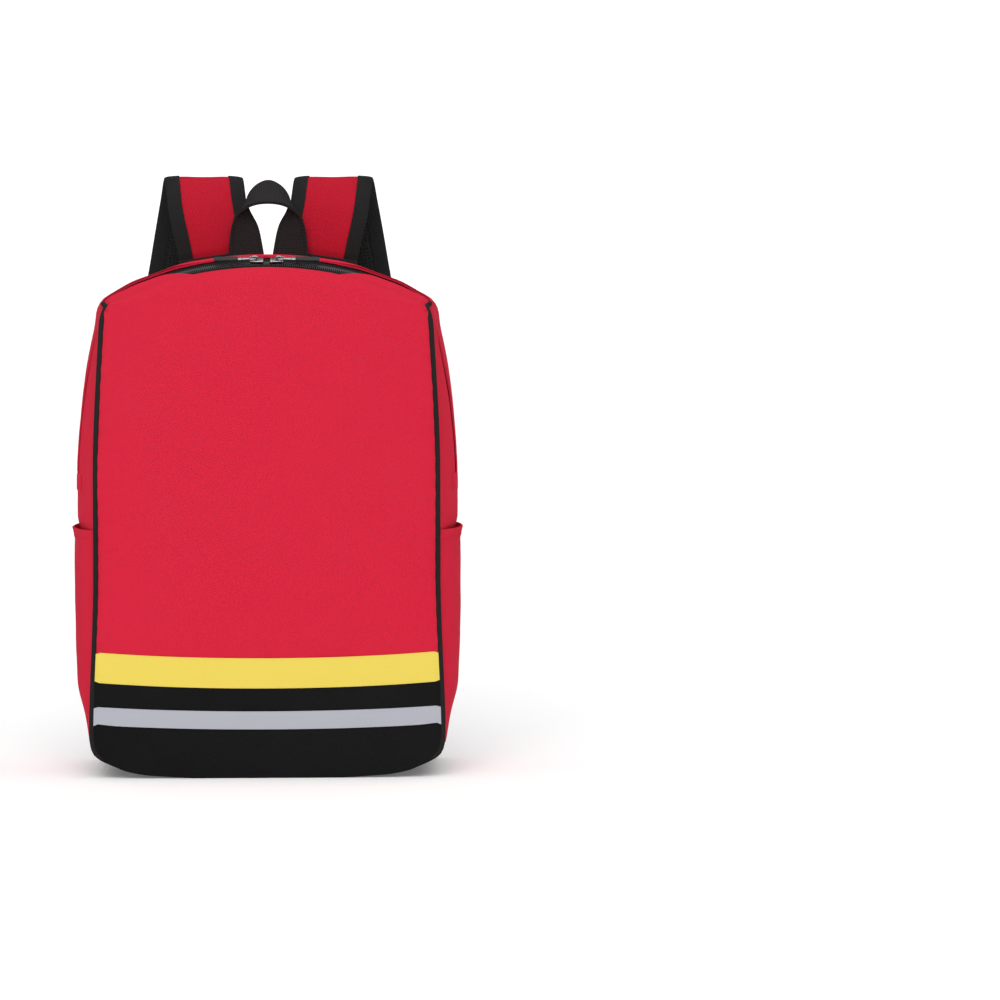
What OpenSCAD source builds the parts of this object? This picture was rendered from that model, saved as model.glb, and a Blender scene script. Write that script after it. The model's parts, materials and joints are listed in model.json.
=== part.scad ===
// Trauma backpack: a soft red daypack that opens at a two-way arched zip.
// The bag stands on its base at z = 0. Its front faces -Y and its back +Y.
// Every wall follows one lofted outline, so the pieces share their seams.

/* [Bag body] */
// Width of the front panel between its two piped seams
panel_w = 281; // [230:1:340]
// Height of the seam line at the top of the front panel
panel_h = 423; // [340:1:500]
// Depth of the bag at its base, front seam to back seam
depth_base = 126; // [105:1:160]
// Depth of the bag at the top of the front panel
depth_top = 108; // [92:1:150]
// Thickness of a padded and lined wall
wall = 3; // [2:0.5:5]
// How far the front panel swells forward of its seams
front_swell = 8; // [3:0.5:14]
// How far each side panel swells outward of the front seam
side_swell = 19.5; // [8:0.5:26]
// Radius of the shallow arch across the top
arch_r = 336; // [260:2:460]
// Radius of the two top corners
corner_r = 14; // [8:1:30]
// Radius of the two bottom corners
base_r = 28; // [15:1:40]

/* [Stripes and piping] */
// Height of the colour change from black base to red panel
black_h = 87; // [70:1:110]
// Width of the yellow stripe
yellow_w = 25; // [15:1:35]
// Width of the silver reflective stripe
silver_w = 15; // [10:1:20]
// Height of the middle of the silver stripe
silver_mid = 48; // [40:1:55]
// Thickness of a sewn-on stripe
stripe_t = 0.8; // [0.5:0.1:1.5]
// Diameter of the corded piping on the front seams
piping_d = 4; // [2.5:0.5:5]

/* [Zip] */
// Height at which the zip ends on both sides
zip_end_h = 250; // [225:1:290]
// Distance from the back seam to the middle of the zip
zip_from_back = 83; // [75:1:88]
// Width of the zip, both tapes together
zip_w = 22; // [18:1:26]
// Rise of the front lip above the top seam line
lip_rise = 2; // [1:0.5:5]
// Rise of the crest behind the zip above the top seam line
crest_rise = 10; // [8:0.5:16]
// Thickness of a zip tape
tape_t = 0.9; // [0.6:0.1:1.2]
// Width of one row of zip teeth
coil_w = 2.3; // [1.8:0.1:3]
// Height of the zip teeth above the tape
coil_t = 1.6; // [1.2:0.1:2.2]
// Space between the two rows of teeth, which the slider post fills
coil_gap = 2.4; // [2.2:0.1:3]
// Length of a slider along the zip
slider_l = 11; // [9:0.5:14]
// Width of a slider across the zip
slider_w = 9; // [8:0.5:11]
// Distance from the middle of the bag to the middle of each closed slider
slider_x = 8.5; // [7.5:0.5:12]
// Length of the metal link of a zip pull
link_l = 14; // [10:1:18]
// Length of the rubber tab on a zip pull
tab_l = 20; // [15:1:26]
// Width of the rubber tab
tab_w = 7; // [5:0.5:8]

/* [Side pockets] */
// Height of a side pocket's mouth above the base
pocket_h = 206; // [150:1:215]
// How far the pocket's mouth stands off the side panel
pocket_stand = 7.2; // [6:0.1:9]
// Thickness of the pocket cloth
pocket_t = 1.2; // [0.8:0.1:2]
// Height of the elastic hem at the pocket's mouth
hem_h = 8; // [5:1:14]

/* [Inside] */
// Height of the padded sleeve inside
sleeve_h = 290; // [200:5:330]
// Width of the padded sleeve
sleeve_w = 236; // [200:2:250]
// Room inside the sleeve, front to back
sleeve_gap = 24; // [12:1:30]
// Thickness of the foam behind the back panel
foam_t = 5; // [3:1:8]
// Thickness of the stiffening board in the base
board_t = 2; // [1:0.5:4]

/* [Straps and handle] */
// Width of a shoulder strap at its widest
strap_w = 68; // [55:1:70]
// Thickness of a shoulder strap's foam pad
strap_t = 9; // [6:0.5:11]
// How far the strap loops rise above the top seam line
strap_rise = 79; // [60:1:90]
// Width of the webbing below each strap
web_w = 25; // [20:1:30]
// Thickness of the webbing
web_t = 1.6; // [1.2:0.2:2.4]
// Width of the haul handle's webbing
handle_w = 29; // [24:1:32]
// Height of the haul handle above the top seam line
handle_rise = 63; // [50:1:70]
// Thickness of the haul handle's doubled webbing
handle_t = 3; // [2:0.2:4]
// Thickness of the padded mesh on the back
pad_t = 8; // [5:1:12]

/* [Hidden] */

red = "crimson";
dark = "#262526";

// Clearances
seam_gap = 0.15;
body_gap = 0.5;
skin_gap = 0.2;
pin_gap = 0.3;
post_gap = 0.75;

// Outline, walked from the middle of the top down one side to the middle of the base
half_w = panel_w / 2;
arch_z = panel_h - arch_r;
top_angle = asin((half_w - corner_r) / (arch_r - corner_r));
corner_z = arch_z + (arch_r - corner_r) * cos(top_angle);
q_arch = arch_r * top_angle * PI / 180;
q_corner = q_arch + corner_r * (90 - top_angle) * PI / 180;
q_base = q_corner + corner_z - base_r;
q_floor = q_base + base_r * PI / 2;
q_mid = q_floor + half_w - base_r;
q_zip_end = q_corner + corner_z - zip_end_h;
q_turn = (q_arch + q_corner) / 2;
shoulder_l = 60;
q_shoulder = q_arch - 25;
q_pocket_top = q_corner + corner_z - pocket_h;

y_back = depth_base / 2;
zip_y = y_back - zip_from_back;
lip_y = zip_y - zip_w / 2;
crest_y = zip_y + zip_w / 2;
to_seam = 1000;

function lerp(a, b, t) = a + (b - a) * t;
function clamp01(t) = max(0, min(1, t));
function smooth(t) = let(c = clamp01(t)) c * c * (3 - 2 * c);
function unit(v) = v / norm(v);
function degrees(arc, r) = arc / r * 180 / PI;

function walk_angle(a) =
    a < q_arch ? degrees(a, arch_r) :
    a < q_corner ? top_angle + degrees(a - q_arch, corner_r) :
    a < q_base ? 90 :
    a < q_floor ? 90 + degrees(a - q_base, base_r) : 180;
function walk_x(a) =
    a < q_arch ? arch_r * sin(walk_angle(a)) :
    a < q_corner ? half_w - corner_r + corner_r * sin(walk_angle(a)) :
    a < q_base ? half_w :
    a < q_floor ? half_w - base_r + base_r * sin(walk_angle(a)) : q_mid - a;
function walk_z(a) =
    a < q_arch ? arch_z + arch_r * cos(walk_angle(a)) :
    a < q_corner ? corner_z + corner_r * cos(walk_angle(a)) :
    a < q_base ? corner_z - (a - q_corner) :
    a < q_floor ? base_r + base_r * cos(walk_angle(a)) : 0;
function side(q) = q < 0 ? -1 : 1;

// Front seam, which leans back towards the top
function y_front(z) = y_back - lerp(depth_base, depth_top, pow(clamp01(z / panel_h), 1.5));

// Swell of the sides, greatest near mid height, and of the top, which carries the zip
swell_mid = 0.488 * panel_h;
swell_half = 0.452 * panel_h;
function side_bulge(z) = side_swell * max(0, 1 - pow(abs((z - swell_mid) / swell_half), 3));
function across(y, z) = let(f = y_front(z)) 2 * (y - f) / (y_back - f) - 1;
function top_bulge(y) =
    y < lip_y ? lip_rise * smooth((y - y_front(panel_h)) / (lip_y - y_front(panel_h))) :
    y < crest_y ? lerp(lip_rise, crest_rise, (y - lip_y) / zip_w) :
    crest_rise * (1 - pow((y - crest_y) / (y_back - crest_y), 2));
relief_depth = 5.5;
function pocket_relief(z) = relief_depth * smooth((pocket_h + 24 - z) / 20) * smooth((z - 20) / 40);
function swell(a, y) =
    let(z = walk_z(a), on_side = smooth((a - q_shoulder) / shoulder_l),
        body = 1 - pow(abs(across(y, z)), 2.4))
    a > q_base ? 0 :
    (1 - on_side) * top_bulge(y) + on_side * side_bulge(z) * body;
function relief(a, y) = a < q_zip_end || a > q_base ? 0 :
    pocket_relief(walk_z(a)) * (1 - pow(across(y, walk_z(a)), 2));

// A point of the strip that wraps the sides, top and base, sunk inward by depth
function strip_point(q, y, depth, relieved) =
    let(a = abs(q), g = walk_angle(a), r = swell(a, y) - depth - relieved * relief(a, y))
    [side(q) * (walk_x(a) + r * sin(g)), y, walk_z(a) + r * cos(g)];

// Top and bottom of the outline at a distance x from the middle
function outline_top(x) = let(w = abs(x))
    w < arch_r * sin(top_angle) ? arch_z + sqrt(arch_r * arch_r - w * w) :
    corner_z + sqrt(max(0, pow(corner_r, 2) - pow(w - half_w + corner_r, 2)));
function outline_bottom(x) = let(w = abs(x))
    w < half_w - base_r ? 0 : base_r - sqrt(max(0, pow(base_r, 2) - pow(w - half_w + base_r, 2)));
function front_y(x, z) =
    let(t = (z - outline_bottom(x)) / (outline_top(x) - outline_bottom(x)))
    y_front(z) - front_swell * (1 - pow(abs(x) / half_w, 3)) * (1 - pow(abs(2 * t - 1), 5));

// The flap folds about a line just in front of the panel, level with the zip's ends
hinge_y = front_y(0, zip_end_h) - 0.5;

// A closed solid between two grids of points
module skin(outer, inner) {
    rows = len(outer);
    cols = len(outer[0]);
    count = rows * cols;
    points = concat([for (r = outer) each r], [for (r = inner) each r]);
    function at(i, j, k) = k * count + i * cols + j;
    function quad(a, b, c, d) = [[a, b, c], [a, c, d]];
    faces = concat(
        [for (i = [0:rows - 2], j = [0:cols - 2])
            each quad(at(i, j, 0), at(i, j + 1, 0), at(i + 1, j + 1, 0), at(i + 1, j, 0))],
        [for (i = [0:rows - 2], j = [0:cols - 2])
            each quad(at(i, j, 1), at(i + 1, j, 1), at(i + 1, j + 1, 1), at(i, j + 1, 1))],
        [for (j = [0:cols - 2])
            each quad(at(0, j, 0), at(0, j, 1), at(0, j + 1, 1), at(0, j + 1, 0))],
        [for (j = [0:cols - 2])
            each quad(at(rows - 1, j, 0), at(rows - 1, j + 1, 0),
                at(rows - 1, j + 1, 1), at(rows - 1, j, 1))],
        [for (i = [0:rows - 2])
            each quad(at(i, 0, 0), at(i + 1, 0, 0), at(i + 1, 0, 1), at(i, 0, 1))],
        [for (i = [0:rows - 2])
            each quad(at(i, cols - 1, 0), at(i, cols - 1, 1),
                at(i + 1, cols - 1, 1), at(i + 1, cols - 1, 0))]);
    polyhedron(points, faces, convexity = 6);
}

// Part of the wrapping strip, between two depths, from one y to another
module strip(q0, q1, y0, y1, deep0, deep1, nq, ny, relieved = 0, tuck = 0) {
    function y_at(q, v) = let(z = walk_z(abs(q)),
        near = max(y0, y_front(z) + wall + seam_gap - tuck),
        far = min(y1, y_back - wall - seam_gap)) lerp(near, far, v);
    function grid(depth) = [for (i = [0:nq]) let(q = lerp(q0, q1, i / nq))
        [for (j = [0:ny]) strip_point(q, y_at(q, j / ny), depth, relieved)]];
    skin(grid(deep0), grid(deep1));
}

// Part of the front panel between two heights, from one depth to another
module front(z0, z1, deep0, deep1, nx, nz, inset = 0) {
    function grid(depth) = [for (i = [0:nx])
        let(x = (half_w - inset) * sin(lerp(-90, 90, i / nx)),
            low = max(z0, outline_bottom(x) + inset), high = min(z1, outline_top(x) - inset))
        [for (j = [0:nz]) let(z = lerp(low, high, j / nz)) [x, front_y(x, z) + depth, z]]];
    skin(grid(deep0), grid(deep1));
}

module mirrored(left) {
    mirror([left ? 1 : 0, 0, 0]) children();
}

module both_sides() {
    children();
    mirror([1, 0, 0]) children();
}

// Flat sheet of the whole outline, drawn in by inset, between two y values
module outline_sheet(y0, y1, inset) {
    steps = 60;
    half = [for (i = [0:steps]) let(a = q_mid * i / steps, g = walk_angle(a))
        [walk_x(a) - inset * sin(g), walk_z(a) - inset * cos(g)]];
    other = [for (i = [steps - 1:-1:1]) [-half[i][0], half[i][1]]];
    translate([0, y1, 0]) rotate([90, 0, 0]) linear_extrude(y1 - y0) polygon(concat(half, other));
}

// Piping: a cord beside the front seam
piping_off = piping_d / 2 + 0.1;
function piping_y(z) = y_front(z) + wall + seam_gap - piping_d / 2 - 0.2;
module ring_tube(centres, us, vs, r) {
    sides = 8;
    rows = len(centres);
    points = [for (i = [0:rows - 1], k = [0:sides - 1])
        centres[i] + r * cos(360 * k / sides) * us[i] + r * sin(360 * k / sides) * vs[i]];
    walls = [for (i = [0:rows - 2], k = [0:sides - 1])
        let(n = (k + 1) % sides, a = i * sides + k, b = i * sides + n)
        each [[a, b + sides, b], [a, a + sides, b + sides]]];
    first = [[for (k = [0:sides - 1]) k]];
    last = [[for (k = [sides - 1:-1:0]) (rows - 1) * sides + k]];
    polyhedron(concat(points), concat(walls, first, last), convexity = 4);
}
function walk_stops(a0, a1, n) = [for (i = [0:n]) lerp(a0, a1, i / n)];
module piping_run(as) {
    ring_tube(
        [for (a = as) let(g = walk_angle(a), z = walk_z(a))
            [walk_x(a) + piping_off * sin(g), piping_y(z), z + piping_off * cos(g)]],
        [for (a = as) [0, 1, 0]],
        [for (a = as) [sin(walk_angle(a)), 0, cos(walk_angle(a))]], piping_d / 2);
}
module piping_over(a, n) {
    g = walk_angle(a);
    z = walk_z(a);
    ys = [for (i = [0:n]) lerp(piping_y(z), lip_y - 1, i / n)];
    ring_tube(
        [for (y = ys) let(r = piping_off + 0.3 + swell(a, max(y, y_front(z) + wall)))
            [walk_x(a) + r * sin(g), y, z + r * cos(g)]],
        [for (y = ys) [-cos(g), 0, sin(g)]],
        [for (y = ys) [sin(g), 0, cos(g)]], piping_d / 2);
}

// Front
module front_panel_lower() {
    color(red) front(black_h + seam_gap, zip_end_h, 0, wall, 20, 8);
}
module front_base_panel() {
    color(dark) front(-to_seam, black_h, 0, wall, 24, 6);
}
module yellow_stripe() {
    color("gold") front(black_h - yellow_w / 2, black_h + yellow_w / 2,
        -stripe_t - skin_gap, -skin_gap, 20, 2);
}
module reflective_stripe() {
    color("silver") front(silver_mid - silver_w / 2, silver_mid + silver_w / 2,
        -stripe_t - skin_gap, -skin_gap, 20, 2);
}
module front_panel_upper() {
    color(red) {
        front(zip_end_h + body_gap, to_seam, 0, wall, 24, 10);
        strip(-q_turn, q_turn, -to_seam, lip_y, 0, wall, 22, 4, tuck = wall);
    }
}

// Sides, top and base
module side_panel(left) {
    color(red) mirrored(left) {
        strip(q_zip_end, q_base, -to_seam, to_seam, 0, wall, 14, 8, relieved = 1);
        strip(q_turn + seam_gap, q_zip_end + 0.5, crest_y, to_seam, 0, wall, 10, 5);
    }
}
module top_panel() {
    color(red) strip(-q_turn, q_turn, crest_y, to_seam, 0, wall, 22, 5);
}
module bottom_panel() {
    color(dark) {
        strip(q_base + seam_gap, q_mid + 1, -to_seam, to_seam, 0, wall, 8, 2);
        mirror([1, 0, 0]) strip(q_base + seam_gap, q_mid + 1, -to_seam, to_seam, 0, wall, 8, 2);
    }
}
module flap_gusset(left) {
    color(red) mirrored(left)
        strip(q_turn + seam_gap, q_zip_end - body_gap, -to_seam, lip_y, 0, wall, 10, 4);
}
module base_board() {
    inset = wall + 8;
    board_w = 2 * (half_w - base_r);
    board_d = depth_base - 2 * inset;
    color("dimgray") translate([-board_w / 2, y_back - depth_base + inset, wall + 1.4])
        cube([board_w, board_d, board_t]);
}

// Zip
tape_in = wall - tape_t;
module zip_tape(y0, y1) {
    color(dark) strip(-q_zip_end + 1, q_zip_end - 1, y0, y1, tape_in, tape_in + tape_t, 44, 1);
}
module zip_teeth(y0, y1) {
    color("#3a393a") strip(-q_zip_end + 1, q_zip_end - 1, y0, y1, tape_in - coil_t, tape_in - 0.05,
        44, 1);
}
module zip_tape_front() {
    zip_tape(lip_y + seam_gap, zip_y - coil_gap / 2);
}
module zip_tape_rear() {
    zip_tape(zip_y + coil_gap / 2, crest_y - seam_gap);
}
module zip_teeth_front() {
    zip_teeth(zip_y - coil_gap / 2 - coil_w, zip_y - coil_gap / 2);
}
module zip_teeth_rear() {
    zip_teeth(zip_y + coil_gap / 2, zip_y + coil_gap / 2 + coil_w);
}
module zip_end_tabs() {
    tab_half = 9;
    color(red) both_sides()
        strip(q_zip_end + 1, q_zip_end + 13, zip_y - tab_half, zip_y + tab_half,
            -1.2, -skin_gap, 2, 3, relieved = 1);
}
module rain_flap() {
    color(red) strip(-q_turn, q_turn, crest_y - 3.5, crest_y + 4, -2.2, -skin_gap, 22, 2);
}

// Sliders ride the arch of the zip, on the plane between lip and crest
zip_slope = atan((crest_rise - lip_rise) / zip_w);
zip_r = arch_r + (lip_rise + crest_rise) / 2;
slider_angle = degrees(slider_x, zip_r);
plate_t = 1.4;
plate_z = coil_t - tape_in + pin_gap + 0.15;
bail_bore = 2;
pin_d = bail_bore - 0.2;
bail_w = 3;
bail_z = plate_z + plate_t + bail_bore / 2 + 0.4;
bail_x = 1.5;
module on_zip(left) {
    mirrored(left) translate([0, zip_y, arch_z]) rotate([0, slider_angle, 0])
        translate([0, 0, zip_r]) rotate([zip_slope, 0, 0]) children();
}
module slider(left) {
    post = coil_gap - 2 * post_gap;
    // The slider tilts with the zip, so its post is set forward to pass midway between the teeth
    lean = (tape_in + tape_t) / 2 * tan(zip_slope);
    under = -tape_in - tape_t - pin_gap;
    color("silver") on_zip(left) {
        difference() {
            union() {
                translate([-slider_l / 2, -slider_w / 2, plate_z])
                    cube([slider_l, slider_w, plate_t]);
                translate([bail_x, bail_w / 2, bail_z]) rotate([90, 0, 0])
                    cylinder(d = bail_bore + 2, h = bail_w, $fn = 32);
                translate([bail_x - bail_bore / 2 - 1, -bail_w / 2, plate_z + plate_t - 0.2])
                    cube([bail_bore + 2, bail_w, bail_z - plate_z - plate_t + 0.2]);
            }
            translate([bail_x, bail_w / 2 + 1, bail_z]) rotate([90, 0, 0])
                cylinder(d = bail_bore, h = bail_w + 2, $fn = 32);
        }
        translate([-slider_l / 2, -post / 2 - lean, under - 1.2])
            cube([3, post, plate_z - under + 1.4]);
        translate([-slider_l / 2, -slider_w / 2, under - 1.2])
            cube([slider_l, slider_w / 2 + post / 2 - lean, 1.2]);
    }
}
link_w = 6;
link_t = 1.2;
module pull_link(left) {
    cheek = (link_w - bail_w) / 2 - pin_gap;
    color("silver") on_zip(left) translate([bail_x, 0, bail_z]) {
        rotate([90, 0, 0]) translate([0, 0, -link_w / 2]) cylinder(d = pin_d, h = link_w, $fn = 24);
        for (s = [-1, 1])
            translate([-0.6, s > 0 ? link_w / 2 - cheek : -link_w / 2, -link_t / 2])
                cube([7, cheek, link_t]);
        translate([6, -link_w / 2, -link_t / 2]) cube([link_l - 6, link_w, link_t]);
    }
}
module pull_tab(left) {
    color("#1c1c1c") on_zip(left) translate([bail_x + link_l + 0.1, 0, bail_z]) {
        translate([0, -tab_w / 2, -1.25]) cube([tab_l - tab_w / 2, tab_w, 2.5]);
        translate([tab_l - tab_w / 2, 0, -1.25]) cylinder(d = tab_w, h = 2.5, $fn = 48);
    }
}

// Side pockets stand off the relieved side panel
pocket_low = q_base - 6;
module pocket_cloth(a0, a1, out0, out1, n) {
    edge = 7;
    function y_at(a, v) = let(z = walk_z(a))
        lerp(y_front(z) + wall + edge, y_back - wall - edge, v);
    function stand(a, v) = skin_gap + (pocket_stand - 3.5 * (1 - smooth((walk_z(a) - base_r) / 60)))
        * (1 - pow(abs(2 * v - 1), 6));
    function grid(out) = [for (i = [0:n]) let(a = lerp(a0, a1, i / n))
        [for (j = [0:10]) strip_point(a, y_at(a, j / 10), -out - stand(a, j / 10), 1)]];
    skin(grid(out1), grid(out0));
}
module side_pocket(left) {
    color(red) mirrored(left) pocket_cloth(q_pocket_top + hem_h, pocket_low, 0, pocket_t, 10);
}
module pocket_hem(left) {
    color(red) mirrored(left)
        pocket_cloth(q_pocket_top, q_pocket_top + hem_h - seam_gap, 0, pocket_t + 0.6, 2);
}

module piping_lower() {
    color(dark) both_sides() piping_run(concat(
        walk_stops(q_zip_end + 0.3, q_base - 1, 7), walk_stops(q_base, q_base + 0.45 * base_r, 4)));
}
module piping_upper() {
    color(dark) both_sides() {
        piping_run(concat(walk_stops(q_turn, q_corner, 3),
            walk_stops(q_corner + 15, q_zip_end - body_gap, 6)));
        piping_over(q_turn, 4);
    }
}

// Back
module back_panel() {
    color(dark) outline_sheet(y_back - wall, y_back, 0);
}
module back_foam() {
    color("whitesmoke") outline_sheet(y_back - wall - foam_t - 0.2, y_back - wall - 0.2, wall + 4);
}
// The back pad keeps clear of the webbing on either side of it
back_pad_w = min(0.7 * panel_w, 206);
back_pad_low = 60;
back_pad_high = panel_h - 62;
module back_pad() {
    corner = 22;
    color("#333234") translate([0, y_back + pad_t + 0.1, 0]) rotate([90, 0, 0]) hull()
        for (x = [-1, 1], z = [back_pad_low + corner, back_pad_high - corner])
            translate([x * (back_pad_w / 2 - corner), z, 0])
                cylinder(r = corner, h = pad_t, $fn = 32);
}
yoke_low = back_pad_high + 6;
yoke_t = 2;
module yoke() {
    color(dark) translate([-half_w * 0.72, y_back + 0.1, yoke_low])
        cube([half_w * 1.44, yoke_t, panel_h - 26 - yoke_low]);
}

// Lining: a thin bag inside the walls
lin_t = 0.6;
lin0 = wall + 1.5;
module body_lining() {
    color("gray") {
        both_sides() {
            strip(q_zip_end + 1, q_base, -to_seam, y_back - 14, lin0, lin0 + lin_t, 10, 6,
                relieved = 1, tuck = -2);
            strip(q_turn + 2, q_zip_end + 1.5, crest_y, y_back - 14, lin0, lin0 + lin_t, 8, 3);
        }
        front(black_h - 80, zip_end_h - 1, wall + 0.5, wall + 0.5 + lin_t, 16, 6, inset = 8);
    }
}
module flap_lining() {
    color("gray") {
        front(zip_end_h + 2, to_seam, wall + 0.5, wall + 0.5 + lin_t, 16, 6, inset = 8);
    }
}
sleeve_y = y_back - wall - foam_t - 1 - sleeve_gap;
sleeve_low = wall + board_t + 2.5;
sleeve_t = 3;
module inner_sleeve() {
    color("dimgray") difference() {
        translate([-sleeve_w / 2, sleeve_y - sleeve_t, sleeve_low])
            cube([sleeve_w, sleeve_gap + sleeve_t, sleeve_h - sleeve_low - 0.1]);
        translate([-sleeve_w / 2 + sleeve_t, sleeve_y, sleeve_low + sleeve_t])
            cube([sleeve_w - 2 * sleeve_t, sleeve_gap + 1, sleeve_h]);
    }
}
module sleeve_binding() {
    color(dark) translate([-sleeve_w / 2, sleeve_y - sleeve_t - 0.5, sleeve_h])
        cube([sleeve_w, sleeve_t + 1, 9]);
}

// Shoulder straps: one smooth centre line for each, from the yoke over the top and down
strap_route = [
    [34, y_back + 7, panel_h - 92],
    [38, y_back + 7, panel_h - 46],
    [44, y_back + 9, panel_h + 10],
    [52, y_back + 15, panel_h + 50],
    [56, y_back + 33, panel_h + strap_rise - 6],
    [61, y_back + 51, panel_h + 50],
    [69, y_back + 55, panel_h + 5],
    [87, y_back + 49, panel_h - 95],
    [99, y_back + 38, panel_h - 190],
    [107, y_back + 26, panel_h - 270],
    [111, y_back + 14, panel_h - 330],
    [115, y_back + 6, panel_h - 375],
    [117, y_back + 5.5, panel_h - 392]];
strap_half = [30, 31, 33, 34, 34, 34, 34, 32, 28, 22, 22, 22, 22];
function spline(p, t) = let(n = len(p) - 3, s = min(max(t, 0), n - 0.0001), k = floor(s), u = s - k)
    0.5 * ((2 * p[k + 1]) + (p[k + 2] - p[k]) * u
    + (2 * p[k] - 5 * p[k + 1] + 4 * p[k + 2] - p[k + 3]) * u * u
    + (3 * p[k + 1] - p[k] - 3 * p[k + 2] + p[k + 3]) * u * u * u);
function strap_at(t) = spline(strap_route, t);
function strap_along(t) = unit(strap_at(t + 0.02) - strap_at(t - 0.02));
function strap_across(t) = let(d = strap_along(t)) unit([1, 0, 0] - d[0] * d);
function strap_out(t) = cross(strap_across(t), strap_along(t));
function strap_reach(t) = spline(strap_half, t) * strap_w / 68;
root_end = 0.88;
strap_start = 0.95;
pad_end = 7.98;
web_start = 8.42;
web_end = 9.9;
bind_w = 11;
mesh_t = 1.2;
// A flat band along the strap, from one share of its width to another
module strap_band(t0, t1, n, in0, in1, n0, n1, fixed = 0) {
    function edge(t, s) = fixed > 0 ? s * fixed / 2 : s * (strap_reach(t) - (s < 0 ? in0 : in1));
    function row(t, h) = let(c = strap_at(t), u = strap_across(t), o = strap_out(t))
        [for (s = [-1, 0, 1]) c + u * edge(t, s) + o * h];
    skin([for (i = [0:n]) row(lerp(t0, t1, i / n), n0)],
        [for (i = [0:n]) row(lerp(t0, t1, i / n), n1)]);
}
module strap_rail(t0, t1, n, s, n0, n1) {
    function row(t, h) = let(c = strap_at(t), u = strap_across(t), o = strap_out(t),
        r = strap_reach(t)) s > 0 ? [c + u * (r - bind_w + 0.1) + o * h, c + u * r + o * h]
        : [c - u * r + o * h, c - u * (r - bind_w + 0.1) + o * h];
    skin([for (i = [0:n]) row(lerp(t0, t1, i / n), n0)],
        [for (i = [0:n]) row(lerp(t0, t1, i / n), n1)]);
}
module strap_pad(left) {
    color(red) mirrored(left)
        strap_band(strap_start, pad_end, 36, bind_w, bind_w, -strap_t / 2 + mesh_t, strap_t / 2);
}
module strap_mesh(left) {
    color(dark) mirrored(left)
        strap_band(strap_start, pad_end, 36, bind_w, bind_w, -strap_t / 2, -strap_t / 2 + mesh_t - 0.1);
}
module strap_binding(left) {
    color("#222122") mirrored(left) for (s = [-1, 1])
        strap_rail(strap_start, pad_end, 36, s, -strap_t / 2, strap_t / 2);
}
module strap_roots() {
    color(dark) both_sides() {
        strap_band(0.2, root_end, 6, 0, 0, -3.5, 2.5);
    }
}
module strap_webbing(left) {
    color(dark) mirrored(left)
        strap_band(web_start, web_end - 0.35, 8, 0, 0, -web_t / 2, web_t / 2, fixed = web_w);
}
anchor_t = 3;
module strap_anchor(left) {
    reach = 42;
    x0 = half_w - 4;
    low = base_r + 2;
    color(dark) mirrored(left) {
        translate([0, y_back + 0.1 + anchor_t, 0]) rotate([90, 0, 0]) linear_extrude(anchor_t)
            polygon([[x0, low], [x0, low + 24], [x0 - reach + 8, low + 20], [x0 - reach, low + 12],
                [x0 - reach + 4, low]]);
        strap_band(web_end - 0.25, web_end + 0.09, 2, 0, 0, -3.3, web_t / 2, fixed = web_w);
    }
}
module ladder_lock(left) {
    lock_w = web_w + 10;
    lock_l = 24;
    t_mid = (pad_end + web_start) / 2;
    c = strap_at(t_mid);
    d = strap_along(t_mid);
    lean = asin(d[0]);
    tip = atan2(d[1], -d[2]);
    color("#1e1e1f") mirrored(left) translate(c) rotate([tip, 0, 0]) rotate([0, -lean, 0])
        difference() {
            translate([-lock_w / 2, -2, -lock_l / 2]) cube([lock_w, 4, lock_l]);
            for (z = [-8, 2])
                translate([-web_w / 2 - 1, -3, z]) cube([web_w + 2, 6, 5]);
        }
}

// Haul handle: a doubled webbing that twists from flat legs to a tilted grip
handle_y = y_back - 2;
handle_z = panel_h + 2;
module haul_handle() {
    n = 32;
    grip_tilt = 45;
    function frame_at(i) = let(s = i / n, a = 180 * s, c = cos(a),
        turn = 90 * smooth(1.2 * (1 - abs(2 * s - 1))))
        [[(c < 0 ? 1 : -1) * (handle_w / 2 + 6) * pow(abs(c), 0.6), 0,
            handle_rise * pow(abs(sin(a)), 0.6)],
         turn, a < 90 ? -1 : 1];
    function wide(f) = f[2] * cos(f[1]) * [1, 0, 0]
        + sin(f[1]) * [0, -cos(grip_tilt), -sin(grip_tilt)];
    centres = [for (i = [0:n]) frame_at(i)[0]];
    function along(i) = unit(centres[min(n, i + 1)] - centres[max(0, i - 1)]);
    function out(i) = unit(cross(wide(frame_at(i)), along(i)));
    function row(i, h) = let(f = frame_at(i), w = wide(f), o = out(i))
        [for (s = [-1, 1]) centres[i] + w * s * handle_w / 2 + o * h];
    color(dark) translate([0, handle_y, handle_z])
        skin([for (i = [0:n]) row(i, -handle_t / 2)], [for (i = [0:n]) row(i, handle_t / 2)]);
}

front_panel_lower();
front_base_panel();
yellow_stripe();
reflective_stripe();
bottom_panel();
base_board();
side_panel(true);  // side_panel_left
side_panel(false);  // side_panel_right
top_panel();
rain_flap();
zip_tape_rear();
zip_teeth_rear();
zip_end_tabs();
back_panel();
back_foam();
back_pad();
yoke();
body_lining();
inner_sleeve();
sleeve_binding();
side_pocket(true);  // side_pocket_left
side_pocket(false);  // side_pocket_right
pocket_hem(true);  // pocket_hem_left
pocket_hem(false);  // pocket_hem_right
piping_lower();
strap_roots();
strap_anchor(true);  // strap_anchor_left
strap_anchor(false);  // strap_anchor_right
front_panel_upper();
flap_gusset(true);  // flap_gusset_left
flap_gusset(false);  // flap_gusset_right
zip_tape_front();
zip_teeth_front();
piping_upper();
flap_lining();
slider(true);  // slider_left
slider(false);  // slider_right
pull_link(true);  // pull_link_left
pull_link(false);  // pull_link_right
pull_tab(true);  // pull_tab_left
pull_tab(false);  // pull_tab_right
haul_handle();
strap_pad(true);  // strap_pad_left
strap_pad(false);  // strap_pad_right
strap_binding(true);  // strap_binding_left
strap_binding(false);  // strap_binding_right
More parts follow.
